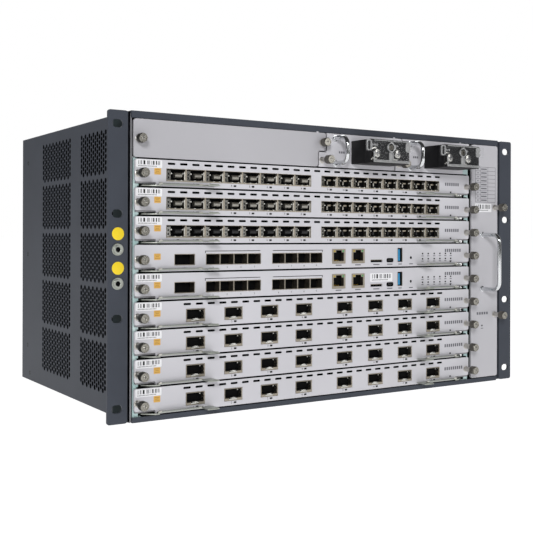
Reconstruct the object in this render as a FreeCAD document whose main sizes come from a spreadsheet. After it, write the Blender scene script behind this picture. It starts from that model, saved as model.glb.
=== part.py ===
import FreeCAD, Part
import math
import os
import re
import Sketcher

# Optical line terminal: a 6U chassis for a 19 inch rack with nine plug-in cards, two power
# modules, a blank panel and a side fan tray. Millimetres. X runs to the right as seen from the
# front, Y to the rear and Z up; the origin is the middle of the chassis underside.

doc = FreeCAD.newDocument("optical_line_terminal")
sheet = doc.addObject("Spreadsheet::Sheet", "Dims")

dimensions = {
    # chassis shell
    "overall_width": 482.6, "body_width": 440, "body_height": 266.5, "body_depth": 300, "wall": 1.5,
    "lip_top": 6, "lip_bottom": 4.5, "wall_setback": 2.4, "overcut": 1,
    # rack ears
    "ear_thick": 2.5, "ear_side_thick": 2, "ear_side_depth": 32.5, "ear_clear": 0.5,
    "ear_groove": 3.2, "ear_groove_depth": 2.8,
    "slot_length": 10, "slot_width": 7, "slot_pitch": 465.1, "slot_outer": 241.3, "slot_inner": 88.9,
    "slot_height": 134,
    "ground_radius": 5.2, "ground_sides": 8, "ground_proud": 2, "ground_height": 119.5,
    "ground_pitch": 28.8,
    # perforated fields of the side walls
    "field_y": -72.8, "field_pitch_y": 111.8, "field_z": 39.6, "field_pitch_z": 49.7,
    "field_columns": 2, "field_rows": 5, "gap_pitch": 28, "gap_width": 25, "gap_height": 42,
    # plug-in faceplates
    "face_front": 150.5, "face_thick": 2.5,
    # card rows
    "card_centre": -20.6, "card_width": 392, "card_height": 23.9, "card_pitch": 24.6,
    "card_floor": 5, "notch_length": 20, "notch_height": 4.4,
    # thumbscrews
    "screw_inset": 4, "screw_drop": 12.6, "neck_radius": 2.5, "neck_length": 6.4, "short_neck": 1.2,
    "head_radius": 4.6, "head_length": 9, "neck_sides": 6, "head_sides": 8,
    # vent slots along the top of the line cards
    "vent_drop": 3.1, "vent_height": 1.5, "vent_gap": 4.8, "vent_count": 6,
    # sixteen-port cards
    "row_left": -187.4, "row_pitch": 19.25, "row_gap": 11.8, "row_drop": 7.3, "row_height": 11.2,
    "row_vent_left": -186.1, "row_vent_length": 49.2,
    # eight-port cards
    "port_left": -167.8, "port_pitch": 38.9, "port_width": 19.2, "port_height": 11.7, "port_drop": 7.3,
    "port_second": 165.6, "port_vent_left": -170.2, "port_vent_length": 47.2,
    # control cards
    "uplink_left": -179.4, "uplink_width": 20.4, "uplink_drop": 8, "uplink_height": 10.1,
    "gang_left": -148.1, "gang_pitch": 14.5, "gang_step": 70.2,
    "jack_left": -8.4, "jack_width": 16.5, "jack_step": 24.1, "jack_drop": 4.6, "jack_height": 14.5,
    "memory_left": 39.7, "memory_width": 15.3, "memory_drop": 15.6, "memory_height": 2.8,
    "mini_left": 60.3, "mini_width": 9.4, "mini_drop": 14.3, "mini_height": 4.4,
    "serial_left": 75.6, "serial_width": 5.4, "serial_drop": 4.6, "serial_height": 13.4,
    # boards and port cages
    "board_side": 188.3, "board_back": 104, "board_low": 2.8, "board_thick": 1.6,
    "cage_sheet": 0.8, "cage_depth": 46, "jack_depth": 22, "plug_width": 280, "plug_depth": 6.5,
    "plug_height": 9, "socket_depth": 14,
    # ejector levers
    "pivot_side": 183, "pivot_depth": 10, "pivot_radius": 1.9, "pivot_clear": 0.1, "pivot_sides": 6,
    "pivot_proud": 0.2, "lever_heel": 5.2,
    "lever_low": 0.5, "lever_thick": 1.6, "lever_reach": 62, "lever_bar": 3.6, "lever_clear": 0.4,
    "lever_arm": 6.3, "lever_nose": 6.2, "lever_nose_back": 5.5, "lever_nose_wide": 3,
    "lever_boss": 3.6,
    "tab_length": 12, "tab_reach": 11, "lever_lip": 1.4, "lever_rise": 4.2,
    # card cage
    "cage_side": 188.9, "cage_wall": 1.2, "cage_flange": 197, "flange_web": 5.3,
    "cage_front": 147.7, "cage_back": 125, "cage_top": 226.5, "nose_back": 126,
    "nose_low": -0.2, "nose_high": 4.6, "guide_wide": 3,
    "guide_front": 125, "guide_back": 100, "guide_clear": 0.4, "guide_thick": 1.3,
    "air_front": 100, "air_back": 95, "air_low": 8.5, "air_high": 20.5, "air_step": 3, "air_count": 3,
    "backplane_front": 112, "backplane_thick": 2.4, "backplane_low": 6.5, "backplane_high": 223.5,
    # power row
    "power_low": 226.4, "power_high": 260, "power_step": 9.4, "power_step_height": 242.4,
    "power_left": -25.2, "power_pitch": 96.1, "power_gap": 0.6, "shelf_thick": 1.2,
    "shelf_setback": 0.5, "power_screw_height": 7, "power_screw_inset": 4.4,
    "case_left": 11, "case_width": 82, "case_back": 60, "case_low": 228.3, "case_high": 258.5,
    "blank_left": -218, "blank_screw_inset": 4.5, "blank_screw_left": 16.4, "blank_screw_right": 24,
    "block_left": 39.8, "block_width": 49.4, "block_low": 230.9, "block_high": 253.9, "block_reach": 30,
    "recess_edge": 2.5, "recess_depth": 8, "rib_width": 3, "terminal_spread": 13, "terminal_radius": 4.5,
    "terminal_height": 241, "terminal_proud": 2.5, "terminal_sides": 8,
    "cover_thick": 3, "cover_low": 231.4, "cover_high": 253.1, "cover_wing": 6.2, "cover_wing_low": 242,
    # wire handles
    "wire_radius": 2.25, "wire_sides": 8, "wire_bend": 6,
    "power_handle_left": 20.2, "power_handle_low": 231, "power_handle_high": 255.5,
    "power_handle_reach": 20,
    "fan_handle_x": 196, "fan_handle_low": 102.2, "fan_handle_high": 161.7, "fan_handle_reach": 25,
    # fan tray
    "fan_left": 179.6, "fan_right": 219.4, "fan_low": 5.5, "fan_high": 260, "fan_screw_x": 214.9,
    "fan_screw_low": 73.5, "fan_screw_high": 191.7,
    "tray_left": 180.6, "tray_right": 217.4, "tray_back": 42, "tray_low": 7.5, "tray_high": 257.5,
    "tray_sheet": 1.2, "fan_size": 120, "fan_depth": 25, "fan_x": 186, "fan_y": -35, "fan_bore": 57.5,
    "bore_sides": 8, "strut_width": 9, "strut_thick": 3, "hub_radius": 21, "hub_length": 18,
    "hub_gap": 0.4, "hub_sides": 8, "blade_root": 18.9, "blade_inset": 2, "blade_tip": 55,
    "blade_chord": 22, "blade_rise": 14, "blade_thick": 2, "blade_count": 5,
}
for row, (alias, size) in enumerate(dimensions.items(), start=1):
    sheet.set(f"A{row}", alias.replace("_", " "))
    sheet.set(f"B{row}", str(size))
    sheet.setAlias(f"B{row}", alias)
doc.recompute()

cards = {
    1: "row", 2: "row", 3: "row", 4: "control", 5: "control", 6: "port", 7: "port", 8: "port", 9: "port",
}
card_rows = len(cards)
row_ports = 8
gang_ports = 4
fans = (1, 2)
subparts = []


# Formulas: each dimension's name is read from the sheet.

def ref(formula):
    def named(word):
        return f"Dims.{word[0]}" if word[0] in dimensions else word[0]

    return re.sub(r"[a-z]\w*", named, str(formula))


def number(formula):
    return float(sheet.evalExpression(ref(formula).replace("Dims.", "")))


def bind(item, **formulas):
    for name, formula in formulas.items():
        item.setExpression(name.replace("__", "."), ref(formula))


def place(item, x="0", y="0", z="0"):
    bind(item, Placement__Base__x=x, Placement__Base__y=y, Placement__Base__z=z)
    return item


def keep(item, label):
    item.Label = label
    subparts.append(item)
    return item


# Solids between planes, cuts and groups.

def block(name, x0, x1, y0, y1, z0, z1):
    solid = doc.addObject("Part::Box", name)
    bind(solid, Length=f"({x1}) - ({x0})", Width=f"({y1}) - ({y0})", Height=f"({z1}) - ({z0})")
    return place(solid, x0, y0, z0)


def cut(name, base, tool):
    solid = doc.addObject("Part::Cut", name)
    solid.Base = base
    solid.Tool = tool
    return solid


def group(name, solids):
    whole = doc.addObject("Part::Compound", name)
    whole.Links = solids
    return whole


# Bodies: sketches on the origin planes, with every point of an outline held by the sheet.

def new_body(name):
    return doc.addObject("PartDesign::Body", name)


def origin_feature(body, role):
    return next(feature for feature in body.Origin.OriginFeatures if feature.Role == role)


def sketch_on(body, plane, offset="0"):
    sketch = body.newObject("Sketcher::SketchObject", "Sketch")
    sketch.AttachmentSupport = (origin_feature(body, plane), [""])
    sketch.MapMode = "FlatFace"
    bind(sketch, AttachmentOffset__Base__z=offset)
    return sketch


def outline(sketch, points):
    corners = [FreeCAD.Vector(number(x), number(y), 0) for x, y in points]
    count = len(corners)
    start = sketch.GeometryCount
    lines = [Part.LineSegment(corners[k], corners[(k + 1) % count]) for k in range(count)]
    sketch.addGeometry(lines, False)
    sketch.addConstraint([
        Sketcher.Constraint("Coincident", start + k, 2, start + (k + 1) % count, 1) for k in range(count)
    ])
    for k, (x, y) in enumerate(points):
        for kind, size, formula in (("DistanceX", corners[k].x, x), ("DistanceY", corners[k].y, y)):
            index = sketch.addConstraint(Sketcher.Constraint(kind, -1, 1, start + k, 1, size))
            sketch.setExpression(f"Constraints[{index}]", ref(formula))


def rectangle(sketch, x0, x1, y0, y1):
    outline(sketch, [(x0, y0), (x1, y0), (x1, y1), (x0, y1)])


def polygon(sketch, x, y, radius, sides):
    count = round(number(sides))
    turn = f"360 deg / {sides}"
    outline(sketch, [
        (f"{x} + {radius} * cos(({k} + 0.5) * {turn})", f"{y} + {radius} * sin(({k} + 0.5) * {turn})")
        for k in range(count)
    ])


def obround(sketch, x, y, length, width):
    half, radius = (number(length) - number(width)) / 2, number(width) / 2
    middle = FreeCAD.Vector(number(x), number(y), 0)
    along, up = FreeCAD.Vector(half, 0, 0), FreeCAD.Vector(0, radius, 0)
    start = sketch.GeometryCount
    normal = FreeCAD.Vector(0, 0, 1)
    quarter = math.pi / 2
    sketch.addGeometry([
        Part.LineSegment(middle - along - up, middle + along - up),
        Part.ArcOfCircle(Part.Circle(middle + along, normal, radius), -quarter, quarter),
        Part.LineSegment(middle + along + up, middle - along + up),
        Part.ArcOfCircle(Part.Circle(middle - along, normal, radius), quarter, 3 * quarter),
    ], False)
    ends = ((0, 2, 1, 1), (1, 2, 2, 1), (2, 2, 3, 1), (3, 2, 0, 1))
    sketch.addConstraint([
        Sketcher.Constraint("Tangent", start + a, p, start + b, q) for a, p, b, q in ends
    ])
    index = sketch.addConstraint(Sketcher.Constraint("Radius", start + 1, radius))
    sketch.setExpression(f"Constraints[{index}]", ref(f"{width} / 2"))
    for arc, sign in ((1, "+"), (3, "-")):
        centre = middle + along if arc == 1 else middle - along
        for kind, size, formula in (
            ("DistanceX", centre.x, f"{x} {sign} ({length} - {width}) / 2"),
            ("DistanceY", centre.y, y),
        ):
            index = sketch.addConstraint(Sketcher.Constraint(kind, -1, 1, start + arc, 3, size))
            sketch.setExpression(f"Constraints[{index}]", ref(formula))


def facet_slot(sketch, x, y, length, width):
    end, side = f"{length} / 2", f"{width} / 2"
    flat = f"{side} * tan(22.5 deg)"
    run = f"({end} - {side} + {flat})"
    outline(sketch, [
        (f"{x} - {run}", f"{y} - {side}"), (f"{x} + {run}", f"{y} - {side}"),
        (f"{x} + {end}", f"{y} - {flat}"), (f"{x} + {end}", f"{y} + {flat}"),
        (f"{x} + {run}", f"{y} + {side}"), (f"{x} - {run}", f"{y} + {side}"),
        (f"{x} - {end}", f"{y} + {flat}"), (f"{x} - {end}", f"{y} - {flat}"),
    ])


def pad(body, sketch, length, midplane=False):
    feature = body.newObject("PartDesign::Pad", "Pad")
    feature.Profile = sketch
    feature.Midplane = midplane
    bind(feature, Length=length)
    return feature


def pocket(body, sketch, length, midplane=False, flip=False):
    feature = body.newObject("PartDesign::Pocket", "Pocket")
    feature.Profile = sketch
    feature.Midplane = midplane
    feature.Reversed = flip
    bind(feature, Length=length)
    return feature


def repeat(body, features, axis, spacing, count):
    pattern = body.newObject("PartDesign::LinearPattern", "Pattern")
    pattern.Originals = features
    pattern.Direction = (origin_feature(body, axis), [""])
    bind(pattern, Length=f"({spacing}) * ({count} - 1)", Occurrences=count)
    body.Tip = pattern
    return pattern


# Thumbscrew: a slim neck behind a knurled head, standing on a faceplate's front.

def thumbscrew(body, x, z, reach="neck_length"):
    neck = sketch_on(body, "XZ_Plane", "face_front")
    polygon(neck, x, z, "neck_radius", "neck_sides")
    head = sketch_on(body, "XZ_Plane", f"face_front + {reach}")
    polygon(head, x, z, "head_radius", "head_sides")
    return [pad(body, neck, reach), pad(body, head, "head_length")]


def faceplate(name, points):
    body = new_body(name)
    sketch = sketch_on(body, "XZ_Plane", "face_front - face_thick")
    outline(sketch, points)
    pad(body, sketch, "face_thick")
    return body


# Chassis shell.

def shell_sheets():
    side = "body_width / 2"
    back = "body_depth / 2"
    bottom = new_body("bottom_plate")
    profile = sketch_on(bottom, "YZ_Plane")
    outline(profile, [
        (f"-{back}", "0"), (back, "0"), (back, "wall"),
        (f"wall - {back}", "wall"), (f"wall - {back}", "lip_bottom"), (f"-{back}", "lip_bottom"),
    ])
    pad(bottom, profile, "body_width - 2 * wall", midplane=True)
    keep(bottom, "bottom_plate")

    top = new_body("top_cover")
    profile = sketch_on(top, "YZ_Plane")
    outline(profile, [
        (f"-{back}", "body_height - lip_top"), (f"wall - {back}", "body_height - lip_top"),
        (f"wall - {back}", "body_height - wall"), (back, "body_height - wall"),
        (back, "body_height"), (f"-{back}", "body_height"),
    ])
    pad(top, profile, "body_width", midplane=True)
    keep(top, "top_cover")

    rear = new_body("rear_panel")
    profile = sketch_on(rear, "XZ_Plane", f"-({back})")
    rectangle(profile, f"wall - {side}", f"{side} - wall", "wall", "body_height - wall")
    pad(rear, profile, "wall")
    keep(rear, "rear_panel")


def side_wall(label, inner_face):
    body = new_body(label)
    profile = sketch_on(body, "YZ_Plane", inner_face)
    rectangle(profile, "wall_setback - body_depth / 2", "body_depth / 2", "0", "body_height - wall")
    pad(body, profile, "wall")
    gaps = sketch_on(body, "YZ_Plane", f"{inner_face} + wall")
    for column in (-1, 0, 1):
        y = f"field_y + {column} * gap_pitch"
        outline(gaps, [
            (f"{y} - gap_width / 2", "field_z"), (y, "field_z - gap_height / 2"),
            (f"{y} + gap_width / 2", "field_z"), (y, "field_z + gap_height / 2"),
        ])
    field = pocket(body, gaps, "wall")
    row = repeat(body, [field], "Y_Axis", "field_pitch_y", "field_columns")
    grid = body.newObject("PartDesign::MultiTransform", "Fields")
    grid.Originals = [field]
    column = doc.addObject("PartDesign::LinearPattern", "Rows")
    column.Direction = (origin_feature(body, "Z_Axis"), [""])
    bind(column, Length="field_pitch_z * (field_rows - 1)", Occurrences="field_rows")
    grid.Transformations = [row, column]
    body.Tip = grid
    keep(body, label)


def rack_ear(label, sign):
    body = new_body(label)
    back = "body_depth / 2"
    edge, root = f"{sign} * overall_width / 2", f"{sign} * body_width / 2"
    fold = f"{sign} * (body_width / 2 + ear_side_thick)"
    profile = sketch_on(body, "XY_Plane", "ear_clear")
    groove = f"{sign} * (body_width / 2 + ear_groove)"
    web = f"{sign} * (body_width / 2 + ear_groove + ear_side_thick)"
    outline(profile, [
        (edge, f"-{back}"), (groove, f"-{back}"), (groove, f"ear_groove_depth - {back}"),
        (root, f"ear_groove_depth - {back}"), (root, f"ear_thick + ear_side_depth - {back}"),
        (fold, f"ear_thick + ear_side_depth - {back}"),
        (fold, f"ear_groove_depth + ear_side_thick - {back}"),
        (web, f"ear_groove_depth + ear_side_thick - {back}"), (web, f"ear_thick - {back}"),
        (edge, f"ear_thick - {back}"),
    ])
    pad(body, profile, "body_height - 2 * ear_clear")
    slots = sketch_on(body, "XZ_Plane", back)
    x = f"{sign} * slot_pitch / 2"
    for half in (-0.5, 0.5):
        obround(slots, x, f"slot_height + {half} * slot_outer", "slot_length", "slot_width")
        facet_slot(slots, x, f"slot_height + {half} * slot_inner", "slot_length", "slot_width")
    pocket(body, slots, "ear_thick + overcut")
    if sign < 0:
        socket = sketch_on(body, "XZ_Plane", back)
        polygon(socket, x, "ground_height", "ground_radius", "ground_sides")
        repeat(body, [pad(body, socket, "ground_proud")], "Z_Axis", "ground_pitch", "2")
    keep(body, label)


# Card cage: walls with an outward front flange, nose slots, a ledge under each board and air windows.

def cage_wall(label, sign, top):
    def x(offset):
        return f"card_centre + {sign} * ({offset})"

    body = new_body(label)
    profile = sketch_on(body, "XY_Plane", "wall")
    inner, outer, flange = x("cage_side"), x("cage_side + cage_wall"), x("cage_flange")
    outline(profile, [
        (inner, "-cage_front"), (flange, "-cage_front"), (flange, "cage_wall - cage_front"),
        (outer, "cage_wall - cage_front"), (outer, "cage_back"), (inner, "cage_back"),
    ])
    pad(body, profile, f"{top} - wall")
    nose = sketch_on(body, "XY_Plane", "card_floor + nose_low")
    rectangle(nose, x("cage_side - overcut"), x("cage_flange - flange_web"), "-cage_front - overcut",
              "-nose_back")
    features = [pocket(body, nose, "nose_high - nose_low", flip=True)]
    ledge = sketch_on(body, "XY_Plane", "card_floor + board_low - guide_clear - guide_thick")
    rectangle(ledge, x("cage_side - guide_wide"), x("cage_side"), "-guide_front", "guide_back")
    features.append(pad(body, ledge, "guide_thick"))
    repeat(body, features, "Z_Axis", "card_pitch", str(card_rows))
    air = sketch_on(body, "YZ_Plane", x("cage_side + cage_wall / 2"))
    floor = "card_floor + card_pitch"
    rectangle(air, "-air_front", "air_back", f"{floor} + air_low", f"{floor} + air_high")
    window = pocket(body, air, "2 * cage_wall", midplane=True)
    repeat(body, [window], "Z_Axis", "air_step * card_pitch", "air_count")
    keep(body, label)


def card_cage():
    cage_wall("card_cage_left", -1, "cage_top")
    cage_wall("card_cage_right", 1, "body_height - wall")
    keep(block("backplane", "card_centre - cage_side", "card_centre + cage_side", "backplane_front",
               "backplane_front + backplane_thick", "backplane_low", "backplane_high"), "backplane")
    keep(block("power_shelf", "wall - body_width / 2", "card_centre + cage_side",
               "shelf_setback - cage_front", "cage_back", "cage_top", "cage_top + shelf_thick"),
         "power_shelf")


# Card faceplates: notched at the bottom corners for the levers, with port windows and vents.

row_starts = "row_left", f"row_left + {row_ports} * row_pitch + row_gap"
port_starts = "port_left", "port_left + port_second"
gang_starts = "gang_left", "gang_left + gang_step"
jack_starts = "jack_left", "jack_left + jack_step"
small_sockets = "memory", "mini", "serial"


def card_panel(label, kind, low):
    left, right = "card_centre - card_width / 2", "card_centre + card_width / 2"
    body = faceplate(label, [
        (f"{left} + notch_length", "0"), (f"{right} - notch_length", "0"),
        (f"{right} - notch_length", "notch_height"), (right, "notch_height"), (right, "card_height"),
        (left, "card_height"), (left, "notch_height"), (f"{left} + notch_length", "notch_height"),
    ])
    windows = sketch_on(body, "XZ_Plane", "face_front")

    def window(x, width, drop, height):
        rectangle(windows, x, f"{x} + {width}", f"card_height - {drop} - {height}", f"card_height - {drop}")

    if kind == "row":
        for start in row_starts:
            window(start, f"{row_ports} * row_pitch", "row_drop", "row_height")
    elif kind == "port":
        for start in port_starts:
            window(start, "port_width", "port_drop", "port_height")
    else:
        window("uplink_left", "uplink_width", "uplink_drop", "uplink_height")
        for start in gang_starts:
            window(start, f"{gang_ports} * gang_pitch", "uplink_drop", "uplink_height")
        for start in jack_starts:
            window(start, "jack_width", "jack_drop", "jack_height")
        for name in small_sockets:
            window(f"{name}_left", f"{name}_width", f"{name}_drop", f"{name}_height")
    ports = pocket(body, windows, "face_thick")
    if kind == "port":
        repeat(body, [ports], "X_Axis", "port_pitch", str(gang_ports))
    if kind != "control":
        vent = sketch_on(body, "XZ_Plane", "face_front")
        rectangle(vent, f"{kind}_vent_left", f"{kind}_vent_left + {kind}_vent_length",
                  "card_height - vent_drop - vent_height / 2", "card_height - vent_drop + vent_height / 2")
        spacing = f"{kind}_vent_length + vent_gap"
        repeat(body, [pocket(body, vent, "face_thick")], "X_Axis", spacing, "vent_count")
    screws = thumbscrew(body, f"{left} + screw_inset", "card_height - screw_drop")
    repeat(body, screws, "X_Axis", "card_width - 2 * screw_inset", "2")
    keep(place(body, z=low), label)


# Boards: the circuit board, its rear connector, port cages and lever pivots.

def port_cage(name, x, width, drop, height, depth):
    front = "face_thick - face_front"
    high = f"card_height - {drop} + cage_sheet"
    deck = "board_low + board_thick"
    shell = block(f"{name}_shell", f"{x} - cage_sheet", f"{x} + {width} + cage_sheet", front,
                  f"{front} + {depth}", deck, high)
    inside = block(f"{name}_inside", x, f"{x} + {width}", f"{front} - overcut",
                   f"{front} + {depth} - cage_sheet", f"card_height - {drop} - {height}",
                   f"card_height - {drop}")
    return cut(name, shell, inside)


def ganged_cage(name, x, count, step, drop, height):
    cages = [port_cage(name, x, f"{count} * {step}", drop, height, "cage_depth")]
    for k in range(1, count):
        middle = f"{x} + {k} * {step}"
        cages.append(block(f"{name}_rib", f"{middle} - cage_sheet", f"{middle} + cage_sheet",
                           "face_thick - face_front", "face_thick - face_front + cage_depth - cage_sheet",
                           f"card_height - {drop} - {height}", f"card_height - {drop}"))
    return cages


def card_board(label, kind, low):
    deck = "board_low + board_thick"
    solids = [
        block(f"{label}_sheet", "card_centre - board_side", "card_centre + board_side",
              "face_thick - face_front", "board_back", "board_low", deck),
        block(f"{label}_plug", "card_centre - plug_width / 2", "card_centre + plug_width / 2",
              "board_back", "board_back + plug_depth", "board_low", f"{deck} + plug_height"),
    ]
    if kind == "row":
        for start in row_starts:
            solids += ganged_cage(f"{label}_row", start, row_ports, "row_pitch", "row_drop", "row_height")
    elif kind == "port":
        for start in port_starts:
            for k in range(gang_ports):
                solids.append(port_cage(f"{label}_cage", f"{start} + {k} * port_pitch", "port_width",
                                        "port_drop", "port_height", "cage_depth"))
    else:
        solids.append(port_cage(f"{label}_uplink", "uplink_left", "uplink_width", "uplink_drop",
                                "uplink_height", "cage_depth"))
        for start in gang_starts:
            solids += ganged_cage(f"{label}_gang", start, gang_ports, "gang_pitch", "uplink_drop",
                                  "uplink_height")
        for start in jack_starts:
            solids.append(port_cage(f"{label}_jack", start, "jack_width", "jack_drop", "jack_height",
                                    "jack_depth"))
        for name in small_sockets:
            left, high = f"{name}_left", f"card_height - {name}_drop"
            solids.append(block(f"{label}_{name}", f"{left} - cage_sheet",
                                f"{left} + {name}_width + cage_sheet", "face_thick - face_front",
                                "face_thick - face_front + socket_depth", deck, f"{high} + cage_sheet"))
    for sign in (-1, 1):
        pin = new_body(f"{label}_pin")
        sketch = sketch_on(pin, "XY_Plane", "lever_low - pivot_proud")
        polygon(sketch, f"card_centre + {sign} * pivot_side", "pivot_depth - face_front", "pivot_radius",
                "pivot_sides")
        pad(pin, sketch, "board_low - lever_low + pivot_proud")
        solids.append(pin)
    keep(place(group(label, solids), z=low), label)


# Ejector lever: a flat sheet lever on a pin under the board. Its nose sits in the cage flange, and its
# bar runs along the faceplate to a finger tab. Drawn about the pivot, outward side negative.

def ejector(label, sign, low):
    def x(offset):
        return f"{-sign} * ({offset})"

    rear = "pivot_depth + lever_clear"
    front = f"{rear} + lever_bar"
    body = new_body(label)
    plan = sketch_on(body, "XY_Plane", "lever_low")
    outline(plan, [
        (x("-lever_nose"), "-lever_nose_back"), (x("-lever_nose"), "lever_nose_wide - lever_nose_back"),
        (x("-lever_boss"), "lever_boss"), (x("lever_boss"), "lever_boss"),
        (x("lever_arm"), f"-({rear})"), (x("lever_reach"), f"-({rear})"),
        (x("lever_reach"), f"-({front}) - tab_reach"),
        (x("lever_reach - tab_length"), f"-({front}) - tab_reach"),
        (x("lever_reach - tab_length"), f"-({front})"), (x("lever_heel"), f"-({front})"),
    ])
    polygon(plan, "0", "0", "(pivot_radius + pivot_clear) / cos(180 deg / pivot_sides)", "pivot_sides")
    pad(body, plan, "lever_thick")
    lip = sketch_on(body, "XY_Plane", "lever_low + lever_thick")
    rectangle(lip, x("lever_arm"), x("lever_reach - tab_length"), f"-({front})", f"lever_lip - ({front})")
    pad(body, lip, "lever_rise - lever_thick")
    place(body, f"card_centre + {sign} * pivot_side", "pivot_depth - face_front", low)
    keep(body, label)


def plug_in_cards():
    for number_of_card, kind in cards.items():
        low = f"card_floor + {card_rows - number_of_card} * card_pitch"
        card = f"card_{number_of_card}"
        card_panel(f"{card}_panel", kind, low)
        card_board(f"{card}_board", kind, low)
        ejector(f"{card}_ejector_left", -1, low)
        ejector(f"{card}_ejector_right", 1, low)


# Wire handle: a U of drawn wire whose two legs stand on a faceplate.

def wire_handle(name, x, low, high, reach):
    body = new_body(name)
    foot, nose = "-face_front", f"-face_front - {reach}"
    path = sketch_on(body, "YZ_Plane", x)
    corners = [
        (foot, low), (f"{nose} + wire_bend", low), (nose, f"{low} + wire_bend"),
        (nose, f"{high} - wire_bend"), (f"{nose} + wire_bend", high), (foot, high),
    ]
    points = [FreeCAD.Vector(number(y), number(z), 0) for y, z in corners]
    path.addGeometry([Part.LineSegment(a, b) for a, b in zip(points, points[1:])], False)
    path.addConstraint([Sketcher.Constraint("Coincident", k, 2, k + 1, 1) for k in range(len(points) - 2)])
    for k, (y, z) in enumerate(corners):
        line, end = (k, 1) if k < len(points) - 1 else (k - 1, 2)
        for kind, size, formula in (("DistanceX", points[k].x, y), ("DistanceY", points[k].y, z)):
            index = path.addConstraint(Sketcher.Constraint(kind, -1, 1, line, end, size))
            path.setExpression(f"Constraints[{index}]", ref(formula))
    section = sketch_on(body, "XZ_Plane", "face_front")
    polygon(section, x, low, "wire_radius", "wire_sides")
    pipe = body.newObject("PartDesign::AdditivePipe", "Wire")
    pipe.Profile = section
    pipe.Spine = path
    pipe.Transition = "Right corner"
    return body


# Power row: stepped faceplates that interlock, module cases, terminal blocks and clear covers.

def power_module(index):
    left = f"(power_left + {index - 1} * power_pitch)"
    right = f"({left} + power_pitch - power_gap)"
    panel = faceplate(f"power_panel_{index}", [
        (left, "power_low"), (right, "power_low"), (right, "power_step_height"),
        (f"{right} + power_step", "power_step_height"), (f"{right} + power_step", "power_high"),
        (f"{left} + power_step", "power_high"),
        (f"{left} + power_step", "power_step_height - power_gap"), (left, "power_step_height - power_gap"),
    ])
    thumbscrew(panel, f"{left} + power_screw_inset", "power_low + power_screw_height")
    case_x = f"{left} + case_left"
    case = block(f"power_case_{index}", case_x, f"{case_x} + case_width", "face_thick - face_front",
                 "case_back", "case_low", "case_high")
    handle = wire_handle(f"power_handle_{index}", f"{left} + power_handle_left", "power_handle_low",
                         "power_handle_high", "power_handle_reach")
    keep(group(f"power_module_{index}", [panel, case, handle]), f"power_module_{index}")

    block_x = f"{left} + block_left"
    middle = f"{block_x} + block_width / 2"
    terminal = new_body(f"power_terminal_{index}")
    base = sketch_on(terminal, "XZ_Plane", "face_front")
    rectangle(base, block_x, f"{block_x} + block_width", "block_low", "block_high")
    pad(terminal, base, "block_reach")
    recess = sketch_on(terminal, "XZ_Plane", "face_front + block_reach")
    for x0, x1 in (
        (f"{block_x} + recess_edge", f"{middle} - rib_width / 2"),
        (f"{middle} + rib_width / 2", f"{block_x} + block_width - recess_edge"),
    ):
        rectangle(recess, x0, x1, "block_low + recess_edge", "block_high - recess_edge")
    pocket(terminal, recess, "recess_depth")
    for side in ("-", "+"):
        screw = sketch_on(terminal, "XZ_Plane", "face_front + block_reach - recess_depth")
        polygon(screw, f"{middle} {side} terminal_spread", "terminal_height", "terminal_radius",
                "terminal_sides")
        pad(terminal, screw, "terminal_proud")
    keep(terminal, f"power_terminal_{index}")

    cover = new_body(f"power_cover_{index}")
    plate = sketch_on(cover, "XZ_Plane", "face_front + block_reach")
    ends = f"{block_x} - cover_wing", f"{block_x} + block_width + cover_wing"
    outline(plate, [
        (block_x, "cover_low"), (f"{block_x} + block_width", "cover_low"),
        (f"{block_x} + block_width", "cover_wing_low"), (ends[1], "cover_wing_low"), (ends[1], "cover_high"),
        (ends[0], "cover_high"), (ends[0], "cover_wing_low"), (block_x, "cover_wing_low"),
    ])
    pad(cover, plate, "cover_thick")
    keep(cover, f"power_cover_{index}")


def blank_panel():
    right = "(power_left - power_gap)"
    body = faceplate("blank_panel", [
        ("blank_left", "power_low"), (right, "power_low"), (right, "power_step_height"),
        (f"{right} + power_step", "power_step_height"), (f"{right} + power_step", "power_high"),
        ("blank_left", "power_high"),
    ])
    thumbscrew(body, "blank_left + blank_screw_inset", "power_low + blank_screw_left", "short_neck")
    screw_x = f"{right} + power_step - power_screw_inset"
    thumbscrew(body, screw_x, "power_low + blank_screw_right", "short_neck")
    keep(body, "blank_panel")


# Fan tray: faceplate, wire handle, frame with two axial fans that blow to the right. The lower fan
# stands on the frame's floor and the upper one hangs under its roof.

def fan_height(index):
    if index == 1:
        return "(tray_low + tray_sheet + fan_size / 2)"
    return "(tray_high - tray_sheet - fan_size / 2)"


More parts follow.
